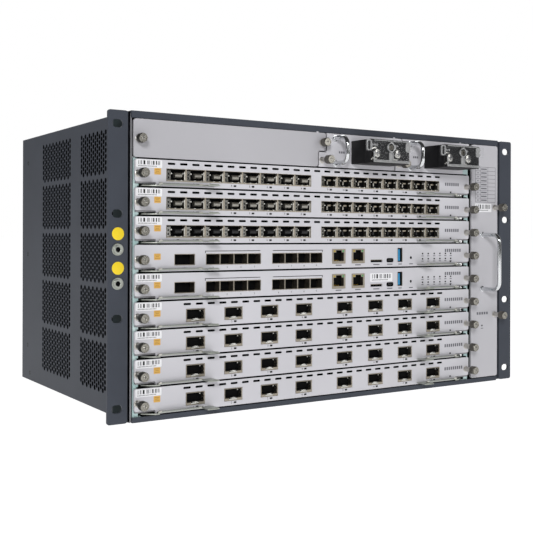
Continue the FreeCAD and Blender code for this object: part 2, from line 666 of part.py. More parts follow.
def fan_tray():
    panel = faceplate("fan_tray_panel", [
        ("fan_left", "fan_low"), ("fan_right", "fan_low"), ("fan_right", "fan_high"),
        ("fan_left", "fan_high"),
    ])
    screw = thumbscrew(panel, "fan_screw_x", "fan_screw_low")
    repeat(panel, screw, "Z_Axis", "fan_screw_high - fan_screw_low", "2")
    keep(panel, "fan_tray_panel")
    handle = wire_handle("fan_tray_handle", "fan_handle_x", "fan_handle_low", "fan_handle_high",
                         "fan_handle_reach")
    keep(handle, "fan_tray_handle")

    front = "face_thick - face_front"
    solids = [cut(
        "fan_tray",
        block("tray_outside", "tray_left", "tray_right", front, "tray_back", "tray_low", "tray_high"),
        block("tray_inside", "tray_left - overcut", "tray_right + overcut", f"{front} - overcut",
              "tray_back - tray_sheet", "tray_low + tray_sheet", "tray_high - tray_sheet"),
    )]
    for index in fans:
        housing = new_body(f"fan_housing_{index}")
        frame = sketch_on(housing, "YZ_Plane", "fan_x")
        rectangle(frame, "fan_y - fan_size / 2", "fan_y + fan_size / 2",
                  f"{fan_height(index)} - fan_size / 2", f"{fan_height(index)} + fan_size / 2")
        polygon(frame, "fan_y", fan_height(index), "fan_bore / cos(180 deg / bore_sides)", "bore_sides")
        pad(housing, frame, "fan_depth")
        strut = sketch_on(housing, "YZ_Plane", "fan_x")
        rectangle(strut, "fan_y - fan_size / 2", "fan_y + fan_size / 2",
                  f"{fan_height(index)} - strut_width / 2", f"{fan_height(index)} + strut_width / 2")
        pad(housing, strut, "strut_thick")
        solids.append(housing)
    keep(group("fan_tray_frame", solids), "fan_tray_frame")
    for index in fans:
        fan_rotor(f"fan_rotor_{index}", index)


def fan_rotor(label, index):
    rotor = new_body(label)
    start = "strut_thick + hub_gap"
    hub = sketch_on(rotor, "YZ_Plane", start)
    polygon(hub, "0", "0", "hub_radius", "hub_sides")
    pad(rotor, hub, "hub_length")
    blade = sketch_on(rotor, "XY_Plane", "blade_root")
    near, far = f"{start} + blade_inset", f"{start} + blade_inset + blade_rise"
    outline(blade, [
        (near, "-blade_chord / 2 - blade_thick / 2"), (near, "blade_thick / 2 - blade_chord / 2"),
        (far, "blade_chord / 2 + blade_thick / 2"), (far, "blade_chord / 2 - blade_thick / 2"),
    ])
    first = pad(rotor, blade, "blade_tip - blade_root")
    ring = rotor.newObject("PartDesign::PolarPattern", "Blades")
    ring.Originals = [first]
    ring.Axis = (origin_feature(rotor, "X_Axis"), [""])
    ring.Angle = 360
    bind(ring, Occurrences="blade_count")
    rotor.Tip = ring
    keep(place(rotor, "fan_x", "fan_y", fan_height(index)), label)


shell_sheets()
side_wall("side_wall_left", "-body_width / 2")
side_wall("side_wall_right", "body_width / 2 - wall")
rack_ear("rack_ear_left", -1)
rack_ear("rack_ear_right", 1)
card_cage()
plug_in_cards()
power_module(1)
power_module(2)
blank_panel()
fan_tray()
doc.recompute()

failed = [item.Label for item in doc.Objects if {"Invalid", "Error"} & set(item.State)]
failed += [item.Label for item in subparts if item.Shape.isNull() or not item.Shape.isValid()]
if failed:
    raise RuntimeError(f"these pieces failed: {failed}")
os.makedirs("parts", exist_ok=True)
for item in subparts:
    item.Shape.exportStep(f"parts/{item.Label}.step")
print(f"{len(subparts)} pieces written")
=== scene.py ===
import bmesh
import bpy
import math
from mathutils import Matrix, Vector


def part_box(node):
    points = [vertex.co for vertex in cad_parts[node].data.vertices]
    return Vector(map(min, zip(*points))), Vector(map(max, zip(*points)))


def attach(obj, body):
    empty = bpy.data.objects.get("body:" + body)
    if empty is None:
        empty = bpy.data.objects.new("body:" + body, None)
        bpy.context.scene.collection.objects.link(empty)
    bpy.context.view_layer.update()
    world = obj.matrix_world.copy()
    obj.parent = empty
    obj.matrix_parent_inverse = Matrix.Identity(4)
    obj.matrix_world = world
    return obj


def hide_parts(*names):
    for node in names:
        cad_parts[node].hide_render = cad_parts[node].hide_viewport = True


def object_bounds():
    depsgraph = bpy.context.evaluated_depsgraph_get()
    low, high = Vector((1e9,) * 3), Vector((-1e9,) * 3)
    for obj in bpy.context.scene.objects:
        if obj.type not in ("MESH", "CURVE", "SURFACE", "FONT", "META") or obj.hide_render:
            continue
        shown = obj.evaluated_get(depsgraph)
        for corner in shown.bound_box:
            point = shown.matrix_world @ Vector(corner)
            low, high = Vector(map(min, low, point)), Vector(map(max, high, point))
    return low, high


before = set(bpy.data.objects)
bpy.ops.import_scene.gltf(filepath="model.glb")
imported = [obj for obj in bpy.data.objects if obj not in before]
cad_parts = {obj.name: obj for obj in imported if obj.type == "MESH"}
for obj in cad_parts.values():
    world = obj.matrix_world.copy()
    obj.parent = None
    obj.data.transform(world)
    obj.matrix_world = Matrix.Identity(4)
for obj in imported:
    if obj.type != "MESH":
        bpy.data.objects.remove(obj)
cadLow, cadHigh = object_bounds()
mm = 0.001    # meshes are modelled in millimetres in the CAD frame, then scaled to metres
print("frame loaded:", len(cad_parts), "nodes")


def nodeBox(node):    # a CAD node's box in millimetres
    low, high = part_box(node)
    return low / mm, high / mm


cardKinds = dict(enumerate(["row"] * 3 + ["control"] * 2 + ["port"] * 4, 1))
plateThick = 2.5
plateBack = nodeBox("card_1_board")[0].y
plateFront = plateBack - plateThick
printThick = 0.08    # ink and labels stand this proud of the paint
quarter = math.pi / 2


# Materials

def linear(hexColour):
    channels = [int(hexColour[k:k + 2], 16) / 255 for k in (1, 3, 5)]
    return [c / 12.92 if c <= 0.04045 else ((c + 0.055) / 1.055) ** 2.4 for c in channels] + [1]


def feed(node, inputs):
    for socket, value in inputs.items():
        if isinstance(value, bpy.types.NodeSocket):
            node.id_data.links.new(value, node.inputs[socket])
        else:
            node.inputs[socket].default_value = value


def addNode(material, kind, inputs, **settings):
    node = material.node_tree.nodes.new(kind)
    for name, value in settings.items():
        setattr(node, name, value)
    feed(node, inputs)
    return node


def newMaterial(name, **constants):    # constants go straight on the shader's own sockets
    material = bpy.data.materials.new(name)
    material.use_nodes = True
    shader = material.node_tree.nodes["Principled BSDF"]
    feed(shader, {socket.replace("_", " "): value for socket, value in constants.items()})
    place = addNode(material, "ShaderNodeTexCoord", {}).outputs["Object"]
    return material, shader, place


def addNoise(material, place, grain, **inputs):    # the grain is in millimetres
    inputs = {"Vector": place, "Scale": 1 / (grain * mm), **inputs}
    return addNode(material, "ShaderNodeTexNoise", inputs).outputs["Fac"]


def addTone(material, share, dark, light):
    inputs = {0: share, 6: linear(dark), 7: linear(light)}
    return addNode(material, "ShaderNodeMix", inputs, data_type="RGBA").outputs[2]


def addRelief(material, height, strength, deep):
    inputs = {"Height": height, "Strength": strength, "Distance": deep * mm}
    return addNode(material, "ShaderNodeBump", inputs).outputs["Normal"]


# baked epoxy powder with a pebbled skin, and satin enamel with a faint orange peel. The real pebble is
# about 0.3 mm, drawn coarser so that it shows
coats = {"powder": {"rough": 0.5, "shine": 0.18, "cloud": 60, "detail": 3.0, "mix": 0.6, "skin": 1.5,
                    "strength": 0.22, "deep": 0.25},
         "satin": {"rough": 0.42, "shine": 0.5, "cloud": 90, "detail": 2.0, "mix": 0.5, "skin": 2.2,
                   "strength": 0.08, "deep": 0.2}}


def makeCoat(name, dark, light, kind="satin"):    # paint on folded steel: faint clouds under a fine skin
    c = coats[kind]
    material, shader, place = newMaterial(name, Roughness=c["rough"], Specular_IOR_Level=c["shine"])
    cloud = addNoise(material, place, c["cloud"], Detail=c["detail"], Roughness=c["mix"])
    skin = addNoise(material, place, c["skin"], Detail=2.0)
    feed(shader, {"Base Color": addTone(material, cloud, dark, light),
                  "Normal": addRelief(material, skin, c["strength"], c["deep"])})
    return material


def makeChromate():    # zinc plate with a blue-green passivation: iridescent clouds over bright metal
    material, shader, place = newMaterial("bluePassivatedZinc", Metallic=0.35, Roughness=0.34)
    cloud = addNoise(material, place, 9, Detail=5.0, Distortion=0.6)
    feed(shader, {"Base Color": addTone(material, cloud, "#6f9f9f", "#e3efee")})
    return material


def makeRolledMetal(name, dark, light, rough, stretch=(1, 1, 1)):    # plated: fine streaks along one axis
    material, shader, place = newMaterial(name, Metallic=1.0)
    grain = addNode(material, "ShaderNodeMapping", {"Vector": place, "Scale": stretch})
    streak = addNoise(material, grain.outputs["Vector"], 1.2, Detail=4.0)
    spread = addNode(material, "ShaderNodeMapRange",
                     {"Value": streak, "To Min": rough * 0.75, "To Max": rough * 1.3})
    feed(shader, {"Base Color": addTone(material, streak, dark, light),
                  "Roughness": spread.outputs["Result"]})
    return material


def makeGalvanised():    # hot-dip galvanised sheet: grey spangles
    material, shader, place = newMaterial("galvanisedSheet", Metallic=1.0, Roughness=0.42)
    spangle = addNode(material, "ShaderNodeTexVoronoi", {"Vector": place, "Scale": 1 / (7 * mm)})
    feed(shader, {"Base Color": addTone(material, spangle.outputs["Distance"], "#9a9d9f", "#b9bcbd")})
    return material


def makeMoulded(name, colour, shade, rough, grit, shine=0.5):    # plastic or print: an even, fine skin
    material, shader, place = newMaterial(name, Roughness=rough, IOR=1.5, Specular_IOR_Level=shine)
    skin = addNoise(material, place, grit, Detail=2.0)
    feed(shader, {"Base Color": addTone(material, skin, shade, colour),
                  "Normal": addRelief(material, skin, 0.15, 0.1)})
    return material


def makeSolderMask():    # epoxy glass board under green lacquer: copper runs show as a faint relief
    material, shader, place = newMaterial("greenSolderMask", Roughness=0.3, IOR=1.5)
    runs = addNode(material, "ShaderNodeTexBrick", {
        "Vector": place, "Scale": 1 / (26 * mm), "Mortar Size": 0.03, "Color1": linear("#1d5a38"),
        "Color2": linear("#1a4f33"), "Mortar": linear("#2f7a4c")})
    feed(shader, {"Base Color": runs.outputs["Color"],
                  "Normal": addRelief(material, runs.outputs["Fac"], 0.3, 0.05)})
    return material


def makeClear(name, dark, light, rough, alpha, grain, shine):    # moulded polycarbonate, faintly smoky
    material, shader, place = newMaterial(name, Roughness=rough, IOR=1.58, Alpha=alpha,
                                          Specular_IOR_Level=shine)
    smoke = addNoise(material, place, grain, Detail=2.0)
    feed(shader, {"Base Color": addTone(material, smoke, dark, light)})
    return material


powderCoat = makeCoat("powderCoatedSteel", "#393d45", "#464a53", "powder")
satinPaint = makeCoat("satinGreyEnamel", "#c1c0c5", "#cbcad0")
edgeHighlightAndShadeGrey = makeCoat("greyEdgePaintedLightAndShade", "#77767a", "#858487")    # mid grey: on the walls' front edges a thin coat on a cut edge, drawn lighter as a painted highlight; on the notch flanges darker than the plate as painted shade
panelPaint = makeCoat("satinPanelEnamel", "#b3b2b7", "#bebdc2")    # the fan tray panel is drawn a shade darker than the card plates
# painted shade: the blank plate's enamel is the plates' enamel drawn darker
blankShadedPaint = makeCoat("satinEnamelPaintedShade", "#a9a8ad", "#b4b3b8")
foam = makeMoulded("blackFilterFoam", "#07090a", "#030404", 0.9, 1.2, 0.03)
slotShadeCoat = makeMoulded("slotShadeDarkGrey", "#2f3739", "#272e30", 0.8, 2.2, 0.05)    # painted shade: dull dark grey on the left ear's fold, where it shows through the slots
chromate = makeChromate()
nickelSheet = makeRolledMetal("brightNickelSheet", "#a5a49f", "#d6d5d0", 0.2, (0.06, 1, 1))
cageNickel = makeRolledMetal("tinnedCageSheet", "#8d8578", "#b4ac9e", 0.4, (1, 0.08, 1))
turnedNickel = makeRolledMetal("turnedNickel", "#827f77", "#aeaba3", 0.26)
chromedWire = makeRolledMetal("polishedChrome", "#c9cbcd", "#e2e4e6", 0.13)
leverSteel = makeRolledMetal("satinZincSteel", "#a0a49c", "#c0c3bc", 0.4, (0.06, 1, 1))
satinNickel = makeRolledMetal("satinNickel", "#8f8c85", "#b4b1a9", 0.5)
# painted highlight: nickel drawn lighter than the turned nickel, on screw necks and points and on the lever
# lip ends
highlightNickel = makeRolledMetal("nickelPaintedHighlight", "#b3b0a9", "#d2cfc9", 0.3)
darkNickel = makeRolledMetal("darkNickel", "#4c4a46", "#6a6862", 0.3)
# painted shade: the screw heads' nickel drawn darker on the knurl
knurlShadeNickel = makeRolledMetal("knurlShadeNickel", "#64615b", "#85827b", 0.34)
blackOxide = makeRolledMetal("blackOxideSteel", "#17181a", "#232528", 0.5)
goldContact = makeRolledMetal("goldFlash", "#b08d3a", "#d8b762", 0.25)
galvanised = makeGalvanised()
blackNylon = makeMoulded("blackNylon", "#101012", "#0a0a0c", 0.45, 0.8, 0.2)
blackResin = makeMoulded("blackConnectorResin", "#17171a", "#0e0e10", 0.5, 0.6)
fanResin = makeMoulded("blackFanResin", "#202124", "#17181a", 0.38, 1.0)
# near-black: painted shade in deep sockets, bores and holes, also the black resin at the backs of the sockets
portShadow = makeMoulded("socketShadeAndResin", "#08080a", "#040405", 0.7, 0.6, 0.1)
blueResin = makeMoulded("blueTongueResin", "#1f8fc4", "#1878a8", 0.35, 0.6)
solderMask = makeSolderMask()
clearCover = makeClear("clearPolycarbonate", "#85878a", "#b0b2b5", 0.06, 0.05, 9, 0.6)
frostedCover = makeClear("milkyPolycarbonate", "#a9aaab", "#cfd0d0", 0.2, 0.46, 4, 0.5)    # where it is thick
whiteLabel = makeMoulded("whiteLabelPaper", "#ececee", "#e3e3e6", 0.6, 0.5)
amberVinyl = makeMoulded("amberVinyl", "#dcae58", "#cf9f47", 0.5, 0.6)
amberInk = makeMoulded("brownScreenInk", "#a77d33", "#97702b", 0.55, 0.4)
yellowVinyl = makeMoulded("yellowVinyl", "#f0d21c", "#e6c714", 0.45, 0.6)
blackInk = makeMoulded("blackScreenInk", "#0e0e11", "#08080a", 0.55, 0.4, 0.2)
greyInk = makeMoulded("greyScreenInk", "#6a6a70", "#5f5f66", 0.55, 0.4)
greenLens = makeMoulded("greenLensResin", "#4f9a5c", "#428a50", 0.25, 0.5)
yellowLens = makeMoulded("yellowLensResin", "#b09a2c", "#a08b24", 0.25, 0.5)
print("materials made:", len(bpy.data.materials))


# Mesh helpers

def newPiece(bm, name, body, finishes, stands=(), smooth=32, bevel=0.0):
    bmesh.ops.recalc_face_normals(bm, faces=bm.faces[:])
    bmesh.ops.scale(bm, vec=(mm, mm, mm), verts=bm.verts[:])
    mesh = bpy.data.meshes.new(name)
    bm.to_mesh(mesh)
    bm.free()
    for finish in finishes:
        mesh.materials.append(finish)
    mesh.shade_smooth()
    mesh.set_sharp_from_angle(angle=math.radians(smooth))
    piece = bpy.data.objects.new(name, mesh)
    bpy.context.scene.collection.objects.link(piece)
    if bevel:
        edge = piece.modifiers.new("edge", "BEVEL")
        edge.width = bevel * mm
        edge.segments = 2
        edge.limit_method = "ANGLE"
        edge.angle_limit = math.radians(50)
        edge.use_clamp_overlap = True
    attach(piece, body)
    if stands:
        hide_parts(*stands)


def chassisPiece(bm, name, finish, stands=(), bevel=0.0):
    newPiece(bm, name, "chassis", [finish], stands, bevel=bevel)


def dressNode(node, material):    # a CAD node that keeps its own mesh
    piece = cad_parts[node]
    piece.data.materials.clear()
    piece.data.materials.append(material)


def turn(bm, angle, axis, verts=None, centre=(0, 0, 0)):
    bmesh.ops.rotate(bm, verts=verts or bm.verts[:], cent=centre, matrix=Matrix.Rotation(angle, 3, axis))


def lay(bm, place, angle, axis):    # turns a whole mesh about an axis, then moves it to its place
    matrix = Matrix.Translation(place) @ Matrix.Rotation(angle, 4, axis)
    bmesh.ops.transform(bm, matrix=matrix, verts=bm.verts[:])


def paintFaces(faces, finish):
    for face in faces:
        face.material_index = finish


def addBlock(bm, x0, x1, y0, y1, z0, z1, finish=0, bevel=0.0, segments=2):
    place = Matrix.Translation(((x0 + x1) / 2, (y0 + y1) / 2, (z0 + z1) / 2))
    size = Matrix.Diagonal((abs(x1 - x0), abs(y1 - y0), abs(z1 - z0), 1))
    corners = bmesh.ops.create_cube(bm, size=1, matrix=place @ size)["verts"]
    paintFaces({face for corner in corners for face in corner.link_faces}, finish)
    if bevel:
        edges = list({edge for corner in corners for edge in corner.link_edges})
        bmesh.ops.bevel(bm, geom=edges, offset=bevel, offset_type="OFFSET", affect="EDGES", segments=segments,
                        profile=0.5, material=-1)
    return corners


def blockMaker(bm, front):    # blocks whose depth is measured back from one face
    def put(x0, x1, near, far, z0, z1, finish=0, bevel=0.0):
        return addBlock(bm, x0, x1, front + near, front + far, z0, z1, finish, bevel)
    return put


def addPart(bm, part, x, y, z, finish=0, bevel=0.0):    # a block's six limits, set out from one point
    x0, x1, y0, y1, z0, z1 = part
    addBlock(bm, x + x0, x + x1, y + y0, y + y1, z + z0, z + z1, finish, bevel)


def addLathe(bm, profile, x, z, segments=32, finish=0, start=0.0):    # (radius, depth) pairs, spun along Y
    oldFaces = set(bm.faces)
    points = [bm.verts.new((x + radius, start + y, z)) for radius, y in profile]
    edges = [bm.edges.new(pair) for pair in zip(points, points[1:])]
    bmesh.ops.spin(bm, geom=points + edges, cent=(x, 0, z), axis=(0, 1, 0), angle=2 * math.pi, steps=segments,
                   use_merge=True)
    made = set(bm.faces) - oldFaces
    paintFaces(made, finish)
    verts = list({vert for face in made for vert in face.verts})
    bmesh.ops.remove_doubles(bm, verts=verts, dist=0.001)
    return [vert for vert in verts if vert.is_valid]


def roundCorners(bm, corners, radius, segments):
    if radius:
        bmesh.ops.bevel(bm, geom=corners, offset=radius, offset_type="OFFSET", affect="VERTICES",
                        segments=segments, profile=0.5, material=-1)


def rectLoop(bm, x0, x1, z0, z1, radius=0.0, segments=4):    # a flat rectangle facing the front
    place = Matrix.Translation(((x0 + x1) / 2, 0, (z0 + z1) / 2)) @ Matrix.Rotation(quarter, 4, "X")
    size = Matrix.Diagonal((x1 - x0, z1 - z0, 1, 1))
    made = bmesh.ops.create_grid(bm, x_segments=1, y_segments=1, size=0.5, matrix=place @ size)
    roundCorners(bm, made["verts"], radius, segments)


def shapeLoop(bm, points, radius=0.0, segments=4):    # a flat outline of a few corners, rounded by a bevel
    corners = [bm.verts.new((x, 0, z)) for x, z in points]
    bm.faces.new(corners)
    roundCorners(bm, corners, radius, segments)


def circleLoop(bm, x, z, radius, segments=24, stretch=0.0):    # stretch pulls the two halves apart along X
    place = Matrix.Translation((x, 0, z)) @ Matrix.Rotation(quarter, 4, "X")
    start = Matrix.Rotation(math.pi / segments, 4, "Z")
    made = bmesh.ops.create_circle(bm, cap_ends=False, radius=radius, segments=segments, matrix=place @ start)
    for vert in made["verts"]:
        vert.co.x += math.copysign(stretch / 2, vert.co.x - x) if stretch else 0


def fillPlate(bm, front, back):    # the flat loops become one sheet, with its inner loops open
    bmesh.ops.delete(bm, geom=bm.faces[:], context="FACES_ONLY")
    bmesh.ops.triangle_fill(bm, edges=bm.edges[:], use_beauty=True, normal=(0, -1, 0))
    bmesh.ops.translate(bm, verts=bm.verts[:], vec=(0, front, 0))
    grown = bmesh.ops.extrude_face_region(bm, geom=bm.faces[:])
    far = [item for item in grown["geom"] if isinstance(item, bmesh.types.BMVert)]
    bmesh.ops.translate(bm, verts=far, vec=(0, back - front, 0))


def join(bm, other, finish=None):    # adds another bmesh to this one
    carrier = bpy.data.meshes.new("carrier")
    if finish is not None:
        paintFaces(other.faces, finish)
    other.to_mesh(carrier)
    other.free()
    bm.from_mesh(carrier)
    bpy.data.meshes.remove(carrier)


def addSheet(bm, x0, x1, z0, z1, front, back, finish=0, radius=0.0):    # a flat rounded field
    sheet = bmesh.new()
    rectLoop(sheet, x0, x1, z0, z1, radius)
    fillPlate(sheet, front, back)
    join(bm, sheet, finish)


def addInk(bm, x0, x1, z0, z1, finish=0, layer=0):    # layer 0 is on the paint, layer 1 on a label
    front = plateFront - layer * printThick
    addBlock(bm, x0, x1, front - printThick, front, z0, z1, finish)


def addMark(bm, field, x, z, finish=0):    # a printed field's four limits, set out from one point
    x0, x1, z0, z1 = field
    addInk(bm, x + x0, x + x1, z + z0, z + z1, finish)


digitMeshes = {}


def addNumber(bm, words, x, z, height):
    deep = 0.02
    if words not in digitMeshes:
        letters = bpy.data.curves.new("digits", "FONT")
        letters.body = words
        letters.align_x = "CENTER"
        letters.align_y = "CENTER"
        letters.resolution_u = 2
        letters.extrude = deep
        carrier = bpy.data.objects.new("digits", letters)
        digitMeshes[words] = bpy.data.meshes.new_from_object(carrier)
        bpy.data.objects.remove(carrier)
    sign = bmesh.new()
    sign.from_mesh(digitMeshes[words])
    bmesh.ops.scale(sign, vec=(height * 1.4, height * 1.4, printThick / (2 * deep)), verts=sign.verts[:])
    lay(sign, (x, plateFront - printThick / 2, z), quarter, "X")
    join(bm, sign, 0)


# Knurled captive thumbscrew: neck in lighter nickel as a painted highlight, straight knurl in darker nickel as
# painted shade, dished face with a driver cross painted dark in place of a recess

thumbscrew = {"neckLong": 8.4, "shortNeck": 2.4, "head": 4.2, "headLong": 7.6, "knurls": 30, "knurlDeep": 0.3,
              "foot": ((0, 0), (3.2, 0), (3.2, -0.5), (2.5, -0.8)),
              "throat": ((2.5, 0.6), (1.9, 0.4), (1.9, 0), (0, 0)),
              "rim": ((0, 7.6), (3.4, 7.6), (3.85, 7.2), (4.2, 6.85), (4.2, 4.4), (4.2, 0.7), (3.85, 0.3)),
              "face": ((3.85, 0.3), (3.6, 0), (2.9, 0), (2.7, 0.35), (1.45, 0.35), (1.3, 0.15)),
              "point": ((1.3, 0.15), (1.05, -0.02), (0.5, 0), (0.4, 0.5), (0, 0.5)),
              "cross": 2.6, "slit": 0.55}


def addThumbscrew(bm, x, z, reach):    # finishes: 0 neck and screw tip, lighter as a painted highlight, 1 face, 2 knurled rim, darker as painted shade, 3 driver cross, dark as painted shade of a recess
    t = thumbscrew
    sides = 2 * t["knurls"]
    tip = plateFront - reach - t["headLong"]
    neck = list(t["foot"]) + [(radius, y - reach) for radius, y in t["throat"]]
    addLathe(bm, neck, x, z, 28, 0, plateFront)
    for vert in addLathe(bm, t["rim"], x, z, sides, 2, tip):    # every second row sinks to make the knurl
        away = Vector((vert.co.x - x, 0, vert.co.z - z))
        row = round(math.atan2(away.z, away.x) / (math.pi / t["knurls"]))
        if away.length > t["head"] - 0.02 and row % 2:
            vert.co -= away.normalized() * t["knurlDeep"]
    addLathe(bm, t["face"], x, z, sides, 1, tip)
    addLathe(bm, t["point"], x, z, sides, 0, tip)
    # the driver cross is not cut: flush dark blocks, painted shade of the recess
    for wide, tall in ((t["cross"], t["slit"]), (t["slit"], t["cross"])):
        addBlock(bm, x - wide / 2, x + wide / 2, tip - 0.04, tip + 0.3, z - tall / 2, z + tall / 2, 3)


def thumbscrewPiece(name, body, places, reach=thumbscrew["neckLong"]):
    bm = bmesh.new()
    for x, z in places:
        addThumbscrew(bm, x, z, reach)
    newPiece(bm, name, body, [highlightNickel, turnedNickel, knurlShadeNickel, darkNickel])


# Chassis

sideWall = {"sheet": 0.3, "pitchY": 5.0, "pitchZ": 5.5, "hole": 2.6, "columns": 17, "rows": 8, "topRows": 7,
            "fieldY": (-72.8, 39.0), "fieldZ": (39.6, 89.5, 139.2, 188.9, 235.5),
            "screws": ((131.0, 239.4), (131.0, 138.6), (131.0, 38.0), (123.0, 8.0)),
            "screwHead": ((0, 0.35), (0.9, 0.35), (1.0, 0), (2.4, -0.02), (2.6, 0.3), (2.6, 1.5), (0, 1.5))}


def makeSideWall(side, sign):
    low, high = nodeBox(f"side_wall_{side}")
    w = sideWall
    bm = bmesh.new()
    rectLoop(bm, low.y, high.y, low.z, high.z)
    for fieldY in w["fieldY"]:
        for k, fieldZ in enumerate(w["fieldZ"]):
            rows = w["topRows"] if k == len(w["fieldZ"]) - 1 else w["rows"]
            for column in range(w["columns"]):
                y = fieldY + (column - (w["columns"] - 1) / 2) * w["pitchY"]
                lift = (0.5 - column % 2) / 2
                for row in range(rows):
                    circleLoop(bm, y, fieldZ + (row - (rows - 1) / 2 + lift) * w["pitchZ"], w["hole"], 8)
    outer = max(abs(low.x), abs(high.x))
    inner = min(abs(low.x), abs(high.x))
    fillPlate(bm, -sign * outer, -sign * (outer - w["sheet"]))
    turn(bm, quarter, "Z")
    chassisPiece(bm, f"side_wall_{side}_sheet", powderCoat, [f"side_wall_{side}"])
    screws = bmesh.new()
    for y, z in w["screws"]:    # low heads, drawn at the origin along Y and then laid against the wall
        head = bmesh.new()
        addLathe(head, w["screwHead"], 0, 0, 20, 0, inner - outer)
        lay(head, (sign * inner, y, z), sign * quarter, "Z")
        join(screws, head)
    chassisPiece(screws, f"side_wall_{side}_screws", blackOxide)
    edge = bmesh.new()    # the folded front edge of the wall, where the coat is thin; its lighter grey is also a painted highlight along the edge
    addBlock(edge, sign * outer, sign * inner, low.y - 0.1, low.y + 0.4, low.z + 0.5, high.z - 0.5, 0, 0.1)
    chassisPiece(edge, f"side_wall_{side}_edge", edgeHighlightAndShadeGrey)


rackEar = {"slots": (-120.65, -44.45, 44.45, 120.65), "slotX": 232.55, "slotZ": 134.0, "slotLong": 10.0,
           "slotHigh": 7.0, "corner": 2.2, "groove": 3.2, "grooveDeep": 2.8, "sheet": 2.0, "thick": 2.5,
           "pad": 6.4, "padThick": 0.15, "padY": -137.5, "padZ": (8.1, 87.0, 179.1, 258.0)}


def makeRackEar(side, sign):
    low, high = nodeBox(f"rack_ear_{side}")
    e = rackEar
    front = nodeBox("rack_ear_right")[0].y
    root = min(abs(low.x), abs(high.x))
    edge = sign * (root + e["groove"])
    tip = sign * max(abs(low.x), abs(high.x))
    fold = sign * (root + e["sheet"])
    bm = bmesh.new()
    rectLoop(bm, min(edge, tip), max(edge, tip), low.z, high.z, e["corner"])
    for z in e["slots"]:
        circleLoop(bm, sign * e["slotX"], e["slotZ"] + z, e["slotHigh"] / 2, 24,
                   e["slotLong"] - e["slotHigh"])
    fillPlate(bm, front, front + e["thick"])
    step = front + e["grooveDeep"]
    addBlock(bm, sign * root, edge + sign * e["sheet"], step, step + e["sheet"], low.z, high.z, 0, 0.3)
    addBlock(bm, sign * root, fold, step, high.y, low.z, high.z, 0, 0.3)
    chassisPiece(bm, f"rack_ear_{side}_sheet", powderCoat, [f"rack_ear_{side}"], 0.3)
    if sign > 0:
        return
    slotShadePads = bmesh.new()    # dull dark grey on the fold where it shows through the slots: painted shade
    for z in e["padZ"]:
        addBlock(slotShadePads, fold, fold + sign * e["padThick"], e["padY"], high.y - 0.5, z - e["pad"],
                 z + e["pad"])
    chassisPiece(slotShadePads, f"rack_ear_{side}_lining", slotShadeCoat)


earFittings = {"discs": (161.4, 132.3), "discX": -232.0, "sockets": (148.1, 119.3), "socketX": -232.4,
               "disc": ((0, 0), (5.45, 0), (5.45, -0.12), (5.35, -0.16), (0, -0.16)),
               "shell": ((2.0, 0), (5.2, 0), (5.2, -0.7), (4.9, -1.0), (4.0, -1.0), (3.8, -1.9), (3.5, -2.0),
                         (2.5, -2.0), (2.1, -1.7), (2.0, -1.2), (2.0, 0)),
               "well": ((2.0, -1.2), (1.95, -0.2), (0, -0.1))}


def makeEarFittings():
    e = earFittings
    front = nodeBox("rack_ear_right")[0].y
    discs = bmesh.new()
    for z in e["discs"]:
        addLathe(discs, e["disc"], e["discX"], z, 40, 0, front)
    chassisPiece(discs, "ear_marker_discs", yellowVinyl)
    sockets = bmesh.new()
    for z in e["sockets"]:
        addLathe(sockets, e["shell"], e["socketX"], z, 36, 0, front)
        # the shallow well is near-black: painted shade of the socket's bore
        addLathe(sockets, e["well"], e["socketX"], z, 36, 1, front)
    newPiece(sockets, "ground_sockets", "chassis", [leverSteel, portShadow])


sunkScrew = {"hole": 3.0,
             "head": ((0, 0.7), (0.8, 0.7), (1.0, 0.16), (2.5, 0.12), (2.7, 0.3), (2.7, 1.2), (0, 1.2))}


def addSunkScrews(sheet, screws, places, front):    # holes in a flat sheet, and heads just below its face
    for x, z in places:
        circleLoop(sheet, x, z, sunkScrew["hole"], 24)
        addLathe(screws, sunkScrew["head"], x, z, 24, 0, front)


topCover = {"sheet": 1.5, "sideX": 212.0, "sideY": (-118.0, -60.0, 0.0, 60.0, 118.0), "backY": 141.0,
            "backX": (-140.0, -70.0, 0.0, 70.0, 140.0)}


def makeTopCover():    # drawn facing the front, then turned to face up
    low, high = nodeBox("top_cover")
    c = topCover
    places = [(side * c["sideX"], y) for side in (-1, 1) for y in c["sideY"]]
    places += [(x, c["backY"]) for x in c["backX"]]
    bm = bmesh.new()
    screws = bmesh.new()
    rectLoop(bm, low.x, high.x, low.y, high.y)
    addSunkScrews(bm, screws, places, -high.z)
    fillPlate(bm, -high.z, c["sheet"] - high.z)
    for part in (bm, screws):
        turn(part, -quarter, "X")
    addBlock(bm, low.x, high.x, low.y, low.y + c["sheet"], low.z, high.z - c["sheet"])
    chassisPiece(bm, "top_cover_sheet", powderCoat, ["top_cover"], 0.3)
    chassisPiece(screws, "top_cover_screws", darkNickel)


rearPanel = {"doorX": 186.0, "doorZ": (28.0, 232.0), "doorSunk": 0.25, "seam": 0.9, "corner": 5.0,
             "doorCorner": 4.4, "edgeX": 205.0, "edgeZ": (12.0, 254.0), "inset": 9.0, "across": 6, "up": 4}


